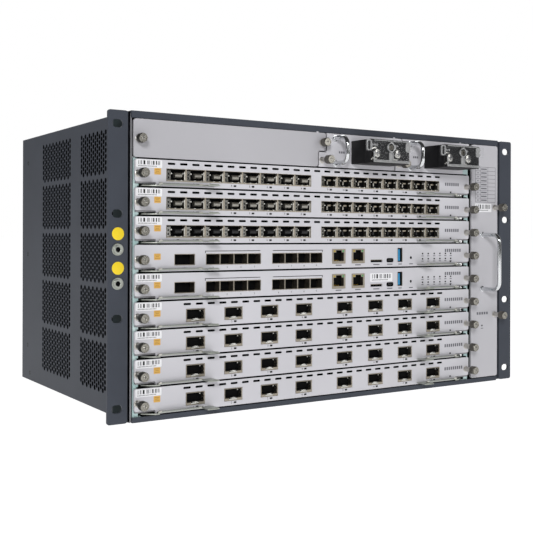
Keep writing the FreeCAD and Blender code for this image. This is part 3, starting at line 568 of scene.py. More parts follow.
def makeRearPanel():    # drawn facing the front, then turned to face the rear
    low, high = nodeBox("rear_panel")
    r = rearPanel
    z0, z1 = r["doorZ"]
    doorX, seam = r["doorX"], r["seam"]
    rowX, lowRow, highRow = doorX - r["inset"], z0 + r["inset"], z1 - r["inset"]
    shares = [k / (r["across"] - 1) for k in range(r["across"])]
    frameSpots = [(-r["edgeX"] + 2 * r["edgeX"] * share, z) for share in shares for z in r["edgeZ"]]
    doorSpots = [(-rowX + 2 * rowX * share, z) for share in shares for z in (lowRow, highRow)]
    for k in range(1, r["up"] - 1):
        doorSpots += [(x, lowRow + (highRow - lowRow) * k / (r["up"] - 1)) for x in (-rowX, rowX)]
    bm = bmesh.new()
    rectLoop(bm, low.x, high.x, low.z, high.z)
    rectLoop(bm, -doorX, doorX, z0, z1, r["corner"])
    door = bmesh.new()    # the removable cover over the backplane
    rectLoop(door, seam - doorX, doorX - seam, z0 + seam, z1 - seam, r["doorCorner"])
    screws = bmesh.new()
    for sheet, spots, face in ((bm, frameSpots, -high.y), (door, doorSpots, -high.y + r["doorSunk"])):
        addSunkScrews(sheet, screws, spots, face)
        fillPlate(sheet, face, -low.y)
    join(bm, door)
    backing = bmesh.new()
    addBlock(backing, low.x + 4, high.x - 4, -low.y + 0.1, -low.y + 0.6, low.z + 4, high.z - 4)
    for part in (bm, screws, backing):
        turn(part, math.pi, "Z")
    chassisPiece(bm, "rear_panel_sheet", powderCoat, ["rear_panel"])
    chassisPiece(screws, "rear_panel_screws", darkNickel)
    chassisPiece(backing, "rear_panel_backing", foam)


boardPlug = {"span": (-160.6, 119.4), "low": 4.4, "high": 13.4, "contacts": 56, "pitch": 5,
             "contactX": (-158, -155.6), "contactZ": (6.0, 11.8)}
airFilter = {"gap": 0.05, "thick": 0.7, "y": (-140, 135), "z": (6, 256)}
sealTop = 257.5


def makeBackplane():
    dressNode("backplane", solderMask)
    b = boardPlug
    headers = bmesh.new()    # a header with a row of contacts for each card
    put = blockMaker(headers, nodeBox("backplane")[0].y)
    x0, x1 = b["contactX"]
    for n in cardKinds:
        z = nodeBox(f"card_{n}_panel")[0].z
        put(*b["span"], -1.2, 0, z + b["low"], z + b["high"], 0, 0.2)
        for k in range(b["contacts"]):
            shift = b["pitch"] * k
            put(x0 + shift, x1 + shift, -1.3, -1.0, z + b["contactZ"][0], z + b["contactZ"][1], 1)
    newPiece(headers, "backplane_headers", "chassis", [blackResin, goldContact])


def makeChassis():
    makeTopCover()
    makeRearPanel()
    sides = (("left", -1), ("right", 1))
    for side, sign in sides:
        makeSideWall(side, sign)
    for side, sign in sides:
        makeRackEar(side, sign)
        dressNode(f"card_cage_{side}", chromate)
    makeEarFittings()
    dressNode("bottom_plate", powderCoat)
    makeBackplane()
    dressNode("power_shelf", galvanised)
    f = airFilter
    back = nodeBox("side_wall_left")[1].x - f["gap"]
    filterSheet = bmesh.new()    # the dust filter behind the left wall's holes
    addBlock(filterSheet, back - f["thick"], back, *f["y"], *f["z"])
    chassisPiece(filterSheet, "air_filter", foam)
    cage = nodeBox("card_cage_right")[1]
    tray = nodeBox("fan_tray_panel")[0]
    seal = bmesh.new()    # a black strip closes the joint beside the fan tray
    addBlock(seal, cage.x + 0.2, tray.x + 0.6, plateBack + 0.5, plateBack + 9, tray.z + 1, sealTop)
    chassisPiece(seal, "fan_tray_seal", foam)
    print("chassis made")


# Plug-in cards: faceplate, thumbscrews, board, port cages, print. Heights are above the card's foot

cardPlate = {"corner": 1.6, "notchLong": 20.0, "notchHigh": 4.4, "screws": (2.8, 4.0), "screwDrop": 12.6,
             "relief": 0.8, "gasket": 1.2, "flangeLow": 2.9}
vents = {"row": (-186.1, 12.0, 27), "port": (-170.2, 12.0, 26), "long": 7.5, "high": 2.0, "drop": 3.1}
rowPorts = {"starts": (-187.4, -21.6), "pitch": 19.25, "count": 8, "low": 5.4, "high": 16.6, "rib": 1.5}
widePorts = {"starts": (-167.8, -2.2), "pitch": 38.9, "count": 4, "wide": 19.2, "low": 4.9, "high": 16.6}
gangs = {"starts": (-148.1, -77.9), "pitch": 14.5, "count": 4, "low": 5.8, "high": 15.9, "rib": 0.9}
uplink = (-179.4, -159.0)
jacks = {"starts": (-8.4, 15.7), "wide": 16.5, "low": 4.8, "high": 19.3, "deep": 22.0}
smallSockets = {"memory": (39.7, 55.0, 5.5, 8.3), "mini": (60.3, 69.7, 5.2, 9.6),
                "serial": (74.8, 81.5, 5.5, 19.9)}
resetHole = {"x": 93.1, "z": 9.8, "radius": 1.45}
cageDeep = 46.0
portKinds = {"row": rowPorts, "port": widePorts, "control": gangs}
# the cages number their faces in this order, from 0
cageFinishes = [cageNickel, portShadow, blackResin, yellowLens, greenLens, blueResin, goldContact,
                nickelSheet, satinNickel]


def portSpans(kind):    # each port's left and right edge
    p = portKinds[kind]
    wide = p.get("wide", p["pitch"])
    lefts = [start + k * p["pitch"] for start in p["starts"] for k in range(p["count"])]
    return [(left, left + wide) for left in lefts]


def bankSpans(kind):    # the edges of each bank of joined ports
    p = portKinds[kind]
    return [(start, start + p["pitch"] * p["count"]) for start in p["starts"]]


def cutWindows(bm, kind, z):
    p = portKinds[kind]
    control = kind == "control"
    spans = portSpans(kind) if kind == "port" else bankSpans(kind)
    for x0, x1 in [uplink] * control + spans:
        rectLoop(bm, x0, x1, z + p["low"], z + p["high"], 0.4, 2)
    if control:
        for start in jacks["starts"]:
            rectLoop(bm, start, start + jacks["wide"], z + jacks["low"], z + jacks["high"], 0.4, 2)
        for name, (x0, x1, z0, z1) in smallSockets.items():
            rectLoop(bm, x0, x1, z + z0, z + z1, 1.6 if name == "mini" else 0.4, 3)
        circleLoop(bm, resetHole["x"], z + resetHole["z"], resetHole["radius"], 20)


def makeCardPlate(n, kind):
    low, high = nodeBox(f"card_{n}_panel")
    c = cardPlate
    z = low.z
    inset, lift, foot = c["notchLong"], z + c["notchHigh"], z + c["relief"]
    bm = bmesh.new()
    shapeLoop(bm, [(low.x + inset, foot), (high.x - inset, foot), (high.x - inset, lift), (high.x, lift),
                   (high.x, high.z), (low.x, high.z), (low.x, lift), (low.x + inset, lift)], c["corner"])
    cutWindows(bm, kind, z)
    seal = bmesh.new()    # a black shielding gasket along the top edge closes the joint to the card above
    put = blockMaker(seal, plateFront)
    put(low.x + 3, high.x - 3, 0.35, plateThick - 0.1, high.z - 0.1, high.z + c["gasket"], 0, 0.15)
    for x in (low.x + 0.8, high.x - inset + 0.4):    # the notches are half closed by a folded flange, drawn a darker grey than the plate as painted shade
        put(x, x + inset - 1.2, 0.8, plateThick, z + c["flangeLow"], lift + 0.2, 1, 0.2)
    if kind in vents:    # black foam stands behind the vents
        first, pitch, count = vents[kind]
        middle = high.z - vents["drop"]
        for k in range(count):
            circleLoop(bm, first + vents["long"] / 2 + k * pitch, middle, vents["high"] / 2, 12,
                       vents["long"] - vents["high"])
        put(first - 2, first + pitch * count, 0.5, plateThick + 2.0, middle - 1.6, middle + 1.6)
    fillPlate(bm, plateFront, plateBack)
    newPiece(bm, f"card_{n}_faceplate", f"card_{n}", [satinPaint], [f"card_{n}_panel"],
             bevel=0.3)
    screwZ = high.z - c["screwDrop"]
    left, right = c["screws"]
    thumbscrewPiece(f"card_{n}_thumbscrews", f"card_{n}", [(low.x + left, screwZ), (high.x - right, screwZ)])
    newPiece(seal, f"card_{n}_gasket", f"card_{n}", [foam, edgeHighlightAndShadeGrey])


finger = {"wide": 2.0, "long": 7.0, "lean": 0.22, "sheet": 0.16}


def addFinger(bm, x, y, z, side, finish):    # a spring finger bent out of the cage wall
    f = finger
    half, long = f["wide"] / 2, f["long"]
    strip = bmesh.new()
    addBlock(strip, -half, half, 0, long * 0.55, 0, f["sheet"])
    tip = addBlock(strip, -half, half, 0, long * 0.5, 0, f["sheet"])
    turn(strip, -2 * f["lean"], "X", tip)
    bmesh.ops.translate(strip, verts=tip, vec=(0, long * 0.53, 0))
    turn(strip, f["lean"], "X")
    lay(strip, (x, y, z), side * quarter, "Y")
    join(bm, strip, finish)


def addCage(bm, x0, x1, z0, z1, deep, wall, mouth):    # five thin walls: finish 0 metal, 1 the dark inside, near-black as painted shade of the deep cage
    y0, y1 = mouth, plateBack + deep
    for left, right in ((x0 - wall, x0), (x1, x1 + wall)):
        addBlock(bm, left, right, y0, y1, z0 - wall, z1 + wall)
    for under, over in ((z1, z1 + wall), (z0 - wall, z0)):
        addBlock(bm, x0, x1, y0, y1, under, over)
    addBlock(bm, x0 - wall, x1 + wall, y1 - wall, y1, z0 - wall, z1 + wall, 1)
    addBlock(bm, x0 + 1.5, x1 - 1.5, y1 - 14, y1 - wall, z0, z0 + (z1 - z0) * 0.6, 1, 0.3)


# shares are of one port's width or height, the rest is in millimetres
rowCage = {"mouth": 0.1, "inset": 0.3, "side": 0.35, "sheet": 0.3, "springs": (0.38, 0.72),
           "springWide": 0.13, "windows": ((0.2, 2.0), (0.52, 1.6)), "lean": 0.44, "farLean": -0.5,
           "rampLean": 0.3, "horns": ((0.3, 2.6), (0.92, 1.2)), "hornZ": (0.6, 0.72),
           "shelf": {"at": (0.67, 3.4, 0.5), "sides": 16, "radii": (2.4, 2.4), "long": 0.38},
           "pin": {"at": (0.52, 4.2, 0.42), "sides": 12, "radii": (1.0, 0.6), "long": 0.3},
           "hoodX": (0.56, 0.8), "hoodZ": (0.58, 0.74)}


def makeRowCages(bm, n, z):
    p, c = rowPorts, rowCage
    z0, z1 = z + p["low"] + c["inset"], z + p["high"] - c["inset"]
    mouth = plateFront + c["mouth"]
    put = blockMaker(bm, mouth)
    tall, rib = z1 - z0, p["rib"]
    wide = p["pitch"] - rib
    bright = 8 if n < 3 else 2
    for group, (start, end) in enumerate(bankSpans("row")):
        addCage(bm, start + c["side"], end - c["side"], z0, z1, cageDeep, c["sheet"], mouth)
        for k in range(1, p["count"]):
            x = start + k * p["pitch"]
            put(x - rib / 2, x + rib / 2, 0, plateThick - c["mouth"] + cageDeep - 1, z0, z1)
        for k in range(p["count"]):
            left = start + k * p["pitch"] + rib / 2
            right = left + wide
            # a near-black plane 6.4 mm in: painted shade of the deep port
            put(left, right, 6.4, 7.0, z0, z1, 1)
            put(left, right, 0, 0.6, z0, z0 + 0.8)
            for share in c["springs"]:    # the lower contact springs
                x = left + wide * share
                put(x, x + wide * c["springWide"], -0.02, 1.6, z0 + 0.5, z0 + 1.3, 7, 0.2)
            side = bmesh.new()    # the side spring leans in, with two windows
            addBlock(side, 0, 5.2, 0, 0.2, z0 + 0.8, z1 - 1.2, 7)
            for share, high in c["windows"]:
                addBlock(side, 1.3, 2.9, -0.06, 0.1, z0 + tall * share, z0 + tall * share + high, 1)
            lay(side, (left, mouth + 0.2, 0), c["lean"], "Z")
            join(bm, side)
            far = put(right - 0.9, right, 0.3, 0.5, z0 + 1.0, z1 - 2.0, 8)
            turn(bm, c["farLean"], "Z", far, (right, mouth + 0.3, 0))
            under, over = (z0 + tall * share for share in c["hornZ"])
            for share, deep in c["horns"]:    # the upper latch horns catch the light
                x = left + wide * share
                put(x - 1.3, x + 1.0, deep, deep + 1.6, under, over, 7, 0.25)
            part = c["pin"] if group else c["shelf"]    # a rounded shelf bridges the first eight ports
            across, deep, up = part["at"]
            place = Matrix.Translation((left + wide * across, mouth + deep, z0 + tall * up))
            long = tall * part["long"]
            if group:    # the others have a pin under a hood
                x0, x1 = (left + wide * share for share in c["hoodX"])
                under, over = (z0 + tall * share for share in c["hoodZ"])
                put(x0, x1, 4.2, 5.4, under, over, 0, 0.3)
            else:
                place = place @ Matrix.Rotation(quarter, 4, "Y")
                long = wide * part["long"]
            bar = bmesh.ops.create_cone(bm, cap_ends=True, segments=part["sides"], radius1=part["radii"][0],
                                        radius2=part["radii"][1], depth=long, matrix=place)["verts"]
            paintFaces({face for vert in bar for face in vert.link_faces}, bright)
            ramp = put(left, right, 0.8, 6.4, z0 + 0.2, z0 + 0.5, 2)
            turn(bm, c["rampLean"], "X", ramp, (left, mouth + 0.8, z0))


wideCage = {"mouth": -0.05, "rim": 0.25, "rimDeep": 0.9, "wall": 0.35, "wallFront": 0.8, "left": 0.8,
            "right": 1.2, "low": 2.4, "high": 0.8, "stopLeft": 1.0, "stopY": (5.0, 5.6), "latchOff": 0.6,
            "latch": (-4.2, 4.2, -0.4, 0.6, 0.9, 2.5), "tongue": (-2.6, 2.6, -0.45, 0.2, 2.3, 3.2),
            "stud": (-4.4, -3.2, 2.6, 4.0, -2.9, -1.6), "fingers": (0.42, 0.74)}


def makeWideCages(bm, z):
    c = wideCage
    mouth, edge = plateFront + c["mouth"], c["rim"]
    z0, z1 = z + widePorts["low"], z + widePorts["high"]
    under, over = z0 + c["low"], z1 - c["high"]
    near, far = (mouth + y for y in c["stopY"])
    for x0, x1 in portSpans("port"):
        left, right = x0 + c["left"], x1 - c["right"]
        rim = bmesh.new()
        rectLoop(rim, x0 + edge, x1 - edge, z0 + edge, z1 - edge, 0.4, 2)
        rectLoop(rim, left, right, under, over, 0.5, 2)
        fillPlate(rim, mouth, mouth + c["rimDeep"])
        join(bm, rim, 0)
        addCage(bm, left, right, under, over, cageDeep, c["wall"], mouth + c["wallFront"])
        # a near-black stop a few millimetres in: painted shade of the deep port
        addBlock(bm, x0 + c["stopLeft"], right, near, far, under, over, 1)
        middle = (x0 + x1) / 2 - c["latchOff"]
        addPart(bm, c["latch"], middle, mouth, z0, 7, 0.3)
        addPart(bm, c["tongue"], middle, mouth, z0, 7, 0.2)
        addPart(bm, c["stud"], x1, mouth, z1, 7, 0.25)
        for share in c["fingers"]:
            for x, side in ((right, -1), (left, 1)):
                addFinger(bm, x, mouth + c["rimDeep"], z0 + (z1 - z0) * share, side, 7)


jackShell = {"front": (-0.1, 0.7), "wall": 0.4, "wallFront": 0.6, "side": 1.5, "low": 1.6, "high": 1.0,
             "opening": ((-6.4, 2.4), (6.0, 2.4), (6.0, 10.9), (3.4, 10.9), (3.4, 13.1), (-3.4, 13.1),
                         (-3.4, 10.9), (-6.4, 10.9)),
             "stopY": (5.0, 5.3), "stopInset": 0.1, "lensX": ((3, -5.3), (4, 5.3)),
             "lens": (-1.1, 1.1, -0.15, 1.2, -3.0, -1.2), "contact": (-0.18, 0.18, 4.4, 5.0, 2.6, 3.4),
             "contacts": 8, "firstContact": -3.5}


def makeJack(bm, x0, x1, z0, z1):    # a network jack: tinned shell, two lenses and eight contacts
    j = jackShell
    middle = (x0 + x1) / 2
    front, back = (plateFront + y for y in j["front"])
    left, right, under, over = x0 + j["side"], x1 - j["side"], z0 + j["low"], z1 - j["high"]
    shell = bmesh.new()
    rectLoop(shell, x0, x1, z0, z1, 0.5, 2)
    shapeLoop(shell, [(middle + x, z0 + z) for x, z in j["opening"]], 0.2, 2)
    fillPlate(shell, front, back)
    join(bm, shell, 0)
    addCage(bm, left, right, under, over, jacks["deep"], j["wall"], plateFront + j["wallFront"])
    inset = j["stopInset"]
    put = blockMaker(bm, plateFront)
    # a near-black stop inside the jack: painted shade of its depth
    put(left + inset, right - inset, *j["stopY"], under + inset, over - inset, 1)
    for lens, x in j["lensX"]:
        addPart(bm, j["lens"], middle + x, plateFront, z1, lens, 0.15)
    for k in range(j["contacts"]):
        addPart(bm, j["contact"], middle + j["firstContact"] + k, plateFront, z0, 6)


def makeControlSockets(bm, z):
    g = gangs
    put = blockMaker(bm, plateFront)
    z0, z1 = z + g["low"] + 0.5, z + g["high"] - 0.5
    for x0, x1, count in [(*uplink, 1)] + [(*span, g["count"]) for span in bankSpans("control")]:
        addCage(bm, x0 + 0.5, x1 - 0.5, z0, z1, cageDeep, 0.45, plateFront + 0.15)
        # a near-black plane 9 mm in: painted shade of the deep socket
        put(x0 + 1, x1 - 1, 9, 10, z0, z1, 1)
        for k in range(1, count):
            x = x0 + k * (x1 - x0) / count
            put(x - g["rib"] / 2, x + g["rib"] / 2, 0.15, 9, z0, z1)
    clear = 0.1    # each socket's body stands this far inside its window
    under, over = z + jacks["low"] + clear, z + jacks["high"] - clear
    for start in jacks["starts"]:
        makeJack(bm, start + clear, start + jacks["wide"] - clear, under, over)
    inside = {name: (x0 + clear, x1 - clear, z + z0 + clear, z + z1 - clear)
              for name, (x0, x1, z0, z1) in smallSockets.items()}
    # the small sockets are filled near-black just inside their windows: painted shade of their insides
    x0, x1, z0, z1 = inside["memory"]
    put(x0, x1, 1.2, plateThick + 14, z0, z1, 1)
    put(x0 + 0.1, x1 - 0.1, 0.3, 1.3, z1 - 0.5, z1 - 0.1, 0)
    x0, x1, z0, z1 = inside["mini"]
    addSheet(bm, x0, x1, z0, z1, plateFront + 0.5, plateBack + 12, 1, 1.5)
    addSheet(bm, x0 + 2.3, x1 - 2.3, z0 + 1.6, z1 - 1.4, plateFront + 0.2, plateFront + 0.6, 2, 0.3)
    x0, x1, z0, z1 = inside["serial"]
    put(x0, x1, 1.4, plateThick + 14, z0, z1, 1)
    put(x0 + 1.1, x0 + 3.5, 0.4, 1.5, z0 + 1.0, z1 - 1.4, 5, 0.15)
    for wall in (x0, x1 - 0.35):
        put(wall, wall + 0.35, -0.1, 1.5, z0, z1, 0)
    # a near-black disc in the reset hole: painted shade of the hole
    addLathe(bm, [(1.43, 0.5), (0, 0.7)], resetHole["x"], z + resetHole["z"], 20, 1, plateFront)


board = {"front": 6, "back": 104, "low": 2.8, "high": 4.4, "plugFront": 98,
         "coolers": (-120.0, -40.0, 40.0), "coolerPad": (0, 34, 6, 40, 0, 2.0), "fins": 10, "finPitch": 4,
         "coolerBase": (-3, 37, 3, 43, 2.0, 3.6), "fin": (-2.6, -1.6, 3, 43, 3.6, 11.0),
         "chips": (-150.0, -60.0, 20.0, 95.0), "bigChip": (0, 17, -62, -40, 0, 1.8),
         "smallChip": (24, 33, -58, -44, 0, 1.2), "leads": 5, "leadPitch": 4, "lead": (0, 2, -30, -27, 0, 0.9),
         "cans": (-190.0, -178.0, 138.0, 150.0), "canY": 70, "pivots": {"left": -203.6, "right": 162.4},
         "can": ((0, 0), (4, 0), (4, 1), (3.7, 1.4), (4, 1.8), (4, 9.6), (3.6, 10), (0, 10)),
         "rivet": ((0, -0.2), (1.9, -0.2), (1.9, 2.5), (0, 2.5)), "rivetDeep": 10.0, "rivetLow": 0.5}


def makeBoard(n, kind):
    low, high = nodeBox(f"card_{n}_board")
    b = board
    z = nodeBox(f"card_{n}_panel")[0].z
    top = z + b["high"]
    bm = bmesh.new()
    addBlock(bm, low.x, high.x, plateBack + b["front"], b["back"], z + b["low"], top, 0, 0.1, 1)
    addBlock(bm, *boardPlug["span"], b["plugFront"], high.y, top, z + boardPlug["high"], 1, 0.4)
    for x in b["coolers"]:    # finned coolers over the switching chips
        addPart(bm, b["coolerPad"], x, 0, top, 1, 0.3)
        addPart(bm, b["coolerBase"], x, 0, top, 3, 0.2)
        for k in range(b["fins"]):
            addPart(bm, b["fin"], x + b["finPitch"] * k, 0, top, 3)
    for x in b["chips"]:
        addPart(bm, b["bigChip"], x, 0, top, 1, 0.3)
        addPart(bm, b["smallChip"], x, 0, top, 1, 0.2)
        for k in range(b["leads"]):
            addPart(bm, b["lead"], x + b["leadPitch"] * k, 0, top, 2)
    turned = [(b["can"], (x, b["canY"], top)) for x in b["cans"]]    # filter capacitors and lever rivets
    rivetY = plateFront + b["rivetDeep"]
    turned += [(b["rivet"], (x, rivetY, z + b["rivetLow"])) for x in b["pivots"].values()]
    for profile, place in turned:
        part = bmesh.new()
        addLathe(part, profile, 0, 0, 20)
        lay(part, place, quarter, "X")
        join(bm, part, 2)
    newPiece(bm, f"card_{n}_circuit_board", f"card_{n}",
             [solderMask, blackResin, turnedNickel, galvanised], [f"card_{n}_board"])
    cages = bmesh.new()
    if kind == "row":
        makeRowCages(cages, n, z)
    elif kind == "port":
        makeWideCages(cages, z)
    else:
        makeControlSockets(cages, z)
    newPiece(cages, f"card_{n}_port_cages", f"card_{n}", cageFinishes)


barLabel = {"bars": ((0.09, 0.022), (0.17, 0.02), (0.2, 0.02), (0.28, 0.066), (0.42, 0.016), (0.45, 0.016),
                     (0.48, 0.016), (0.51, 0.016), (0.58, 0.014), (0.64, 0.044), (0.7, 0.014), (0.76, 0.042),
                     (0.85, 0.026), (0.895, 0.02)), "barZ": (0.38, 0.88), "bold": 0.04, "corner": 0.9,
            "marks": 14, "markX": 0.08, "markPitch": 0.052, "markWide": 0.03, "markZ": (0.14, 0.25)}


def addBarLabel(bm, x0, x1, z0, z1):    # finishes: 0 paper, 1 and 2 ink. Plain bars, no code
    b = barLabel
    addSheet(bm, x0, x1, z0, z1, plateFront - printThick, plateFront, 0, b["corner"])
    rows = [(share, thick, b["barZ"], 1 if thick < b["bold"] else 2) for share, thick in b["bars"]]
    rows += [(b["markX"] + b["markPitch"] * k, b["markWide"], b["markZ"], 1) for k in range(b["marks"])]
    wide, tall = x1 - x0, z1 - z0
    for share, thick, (under, over), ink in rows:
        left, right = x0 + wide * share, x0 + wide * (share + thick)
        addInk(bm, left, right, z0 + tall * under, z0 + tall * over, ink, 1)


typeFields = {"row": (7, 8.6), "control": (8, 5.4), "port": (9, 8.6), "left": 140.5, "pitch": 3.0,
              "wide": 1.9, "high": 3.3}
cardLabels = {"edge": 0.9, "right": -191.4, "drops": (7.3, 0.5), "second": (39.0, 68.0),
              "secondDrops": (13.3, 4.8), "amberX": (-198.9, -192.6), "amberDrops": (13.0, 7.5),
              "lines": ((0.24, 0.9), (0.5, 1.6), (0.76, 0.9))}
# numbers: shift from the port's middle, height above the foot, and size
portPrint = {"row": (-2.0, 3.3, 1.8), "port": (-2.0, 3.3, 1.8), "control": (0.0, 3.4, 1.6),
             "field": (0.4, 3.0, 2.5, 4.1), "lamp": (147.6, 149.6, 4.4, 6.0)}
controlPrint = {"brackets": ((-149.0, -91.0, -6.0, -5.4), (-149.0, -148.4, -7.6, -5.4),
                             (-77.0, -20.0, -6.0, -5.4), (-20.4, -19.8, -7.6, -5.4)),
                "lampX": (109.0, 116.9, 125.3, 133.4, 141.3, 149.0), "lampDrops": (10.2, 15.6),
                "lamp": (-0.9, 0.9, -0.8, 0.8), "lampField": (-1.5, 1.5, -2.8, -2.0), "fieldZ": (2.8, 3.8),
                "fields": ((-172.0, -166.5), (-4.0, 3.0), (20.0, 27.0), (43.0, 51.0), (61.0, 68.0),
                           (76.0, 80.5), (90.5, 95.5))}


def makeLabels(n, low, high):
    c = cardLabels
    top = high.z
    labels = bmesh.new()
    if n != 4:
        addBarLabel(labels, low.x + c["edge"], c["right"], top - c["drops"][0], top - c["drops"][1])
    if n == 5:
        addBarLabel(labels, *c["second"], top - c["secondDrops"][0], top - c["secondDrops"][1])
    x0, x1 = c["amberX"]
    z0, z1 = (top - drop for drop in c["amberDrops"])
    addSheet(labels, x0, x1, z0, z1, plateFront - 1.5 * printThick, plateFront, 3, 0.5)
    for share, inset in c["lines"]:    # fine plain lines on the amber field
        z = z0 + (z1 - z0) * share
        addInk(labels, x0 + inset, x1 - inset, z - 0.22, z + 0.22, 4, 1)
    newPiece(labels, f"card_{n}_labels", f"card_{n}",
             [whiteLabel, greyInk, blackInk, amberVinyl, amberInk])


def makePrint(n, kind):
    low, high = nodeBox(f"card_{n}_panel")
    makeLabels(n, low, high)
    c, t = controlPrint, typeFields
    z, top = low.z, high.z
    ink = bmesh.new()
    control = kind == "control"
    shift, up, size = portPrint[kind]
    for k, (x0, x1) in enumerate([uplink] * control + portSpans(kind), 1):
        x = (x0 + x1) / 2
        addNumber(ink, str(k), x + shift, z + up, size)
        if not control:
            addMark(ink, portPrint["field"], x, z)
    addMark(ink, portPrint["lamp"], 0, z)
    count, drop = t[kind]
    for k in range(count):    # a row of plain fields where the real card carries its type
        x = t["left"] + t["pitch"] * k
        addInk(ink, x, x + t["wide"], top - drop - t["high"], top - drop, 1)
    if control:
        for bracket in c["brackets"]:
            addMark(ink, bracket, 0, top)
        for x in c["lampX"]:
            for drop in c["lampDrops"]:
                addMark(ink, c["lamp"], x, top - drop)
                addMark(ink, c["lampField"], x, top - drop, 1)
        for span in c["fields"]:
            addMark(ink, (*span, *c["fieldZ"]), 0, z, 1)
    newPiece(ink, f"card_{n}_print", f"card_{n}", [blackInk, greyInk])


lever = {"reach": 62.0, "bar": 3.6, "clear": 0.4, "arm": 6.3, "nose": 6.2, "noseBack": 5.5, "noseWide": 3.0,
         "boss": 3.6, "heel": 5.2, "hole": 2.0, "corner": 1.2, "tabLong": 12.0, "tabReach": 11.0, "low": 0.5,
         "lip": 1.0, "depth": 10.0, "teeth": 34, "armSheet": (0.3, 1.3), "barSheet": (1.5, 2.3), "crest": 3.3}


def makeLever(n, side, sign):    # drawn in plan with the depth as height, then laid flat
    v = lever
    z = nodeBox(f"card_{n}_panel")[0].z
    arm, reach, boss, nose = v["arm"], v["reach"], v["boss"], v["nose"]
    rear = v["depth"] + v["clear"]
    front = rear + v["bar"]
    tab, tabFront = reach - v["tabLong"], -front - v["tabReach"]
    bm = bmesh.new()
    shapeLoop(bm, [(-nose, -v["noseBack"]), (-nose, v["noseWide"] - v["noseBack"]), (-boss, boss),
                   (boss, boss), (arm, -rear), (arm + 3.0, -rear), (arm + 3.0, -front), (v["heel"], -front)],
              v["corner"], 4)
    circleLoop(bm, 0, 0, v["hole"], 20)
    fillPlate(bm, -v["armSheet"][0], -v["armSheet"][1])
    bar = bmesh.new()    # the arm steps up to the bar and its thumb tab
    shapeLoop(bar, [(arm + 1.0, -rear), (reach, -rear), (reach, tabFront), (tab, tabFront), (tab, -front),
                    (arm + 1.0, -front)], v["corner"], 4)
    fillPlate(bar, -v["barSheet"][0], -v["barSheet"][1])
    join(bm, bar)
    trims = bmesh.new()
    end = tab - 0.5
    top, under = -v["crest"], -v["barSheet"][1]
    addBlock(trims, arm + 1.0, arm + 3.0, under, -v["armSheet"][0], -front + 0.3, -rear - 0.3, 0, 0.2)
    addBlock(trims, arm + 3.0, end, top, under + 0.1, -front, v["lip"] - front, 0, 0.25)
    for x, long in ((arm + 1.2, 3.2), (end - 2.4, 3.4)):    # painted highlights: lighter nickel at the ends of the lip
        addBlock(trims, x, x + long, top - 0.3, under + 0.2, -front - 0.2, v["lip"] - front, 2, 0.4)
    for k in range(v["teeth"]):    # the thumb grip's serration along its upper edge: raised grey marks, painted shade of grooves
        x = arm + 5.0 + k * (end - arm - 8.0) / v["teeth"]
        addBlock(trims, x, x + 0.45, top + 0.1, top + 0.95, -front - 0.16, -front + 0.1, 1)
    addBlock(trims, tab + 1.2, reach - 1.2, under - 0.9, under + 0.1, tabFront + 0.5, tabFront + 1.6, 0, 0.4)
    join(bm, trims)
    place = Matrix.Translation((board["pivots"][side], plateFront + v["depth"], z + v["low"]))
    place = place @ Matrix.Diagonal((-sign, 1, 1, 1)) @ Matrix.Rotation(-quarter, 4, "X")
    bmesh.ops.transform(bm, matrix=place, verts=bm.verts[:])
    newPiece(bm, f"card_{n}_{side}_lever", f"card_{n}_lever_{side}",
             [leverSteel, greyInk, highlightNickel], [f"card_{n}_ejector_{side}"], bevel=0.2)


def makeCards():
    for n, kind in cardKinds.items():
        makeCardPlate(n, kind)
        makeBoard(n, kind)
        makePrint(n, kind)
        makeLever(n, "left", -1)
        makeLever(n, "right", 1)
    print("cards made:", len(cardKinds))


# Power row

wire = {"radius": 2.25, "bend": 8.0, "steps": 8, "around": 20,
        "washer": ((2.25, 0), (3.35, 0), (3.15, -0.6), (2.25, -0.7))}


def addWireHandle(bm, x, low, high, reach):    # a ring is pulled out, turned up, pulled and turned back
    w = wire
    place = Matrix.Translation((x, plateFront, low)) @ Matrix.Rotation(quarter, 4, "X")
    ring = bmesh.ops.create_circle(bm, cap_ends=True, radius=w["radius"], segments=w["around"], matrix=place)
    edges = list({edge for vert in ring["verts"] for edge in vert.link_edges})
    straight = reach - w["bend"]
    y = plateFront - straight

    def grow(edges):
        made = bmesh.ops.extrude_edge_only(bm, edges=edges)["geom"]
        verts = [item for item in made if isinstance(item, bmesh.types.BMVert)]
        return verts, [item for item in made if isinstance(item, bmesh.types.BMEdge)]

    def pull(edges, vec):
        verts, edges = grow(edges)
        bmesh.ops.translate(bm, verts=verts, vec=vec)
        return edges

    def bend(edges, z):
        for _ in range(w["steps"]):
            verts, edges = grow(edges)
            turn(bm, -quarter / w["steps"], "X", verts, (x, y, z))
        return edges

    edges = pull(edges, (0, -straight, 0))
    edges = bend(edges, low + w["bend"])
    edges = pull(edges, (0, 0, high - low - 2 * w["bend"]))
    edges = bend(edges, high - w["bend"])
    edges = pull(edges, (0, straight, 0))
    bmesh.ops.contextual_create(bm, geom=edges)
    for z in (low, high):    # a pressed washer at each foot
        addLathe(bm, w["washer"], x, z, w["around"], 0, plateFront)


powerRow = {"relief": 0.6, "seam": 0.55, "step": 9.4, "stepUp": 16.0, "gap": 0.6, "corner": 1.4,
            "caseX": (11, 93), "caseLow": 1.9, "caseDrop": 1.5, "screw": (4.4, 7.0), "handleX": 20.2,
            "handleInset": 4.5, "reach": 20.0, "fields": 3, "fieldPitch": 2.6,
            "field": (24.6, 26.4, -1.4, 0.7), "tabs": (-1.1, -4.0), "tab": (-1.2, 1.2, -0.15, 0.2, -0.5, 1.0)}


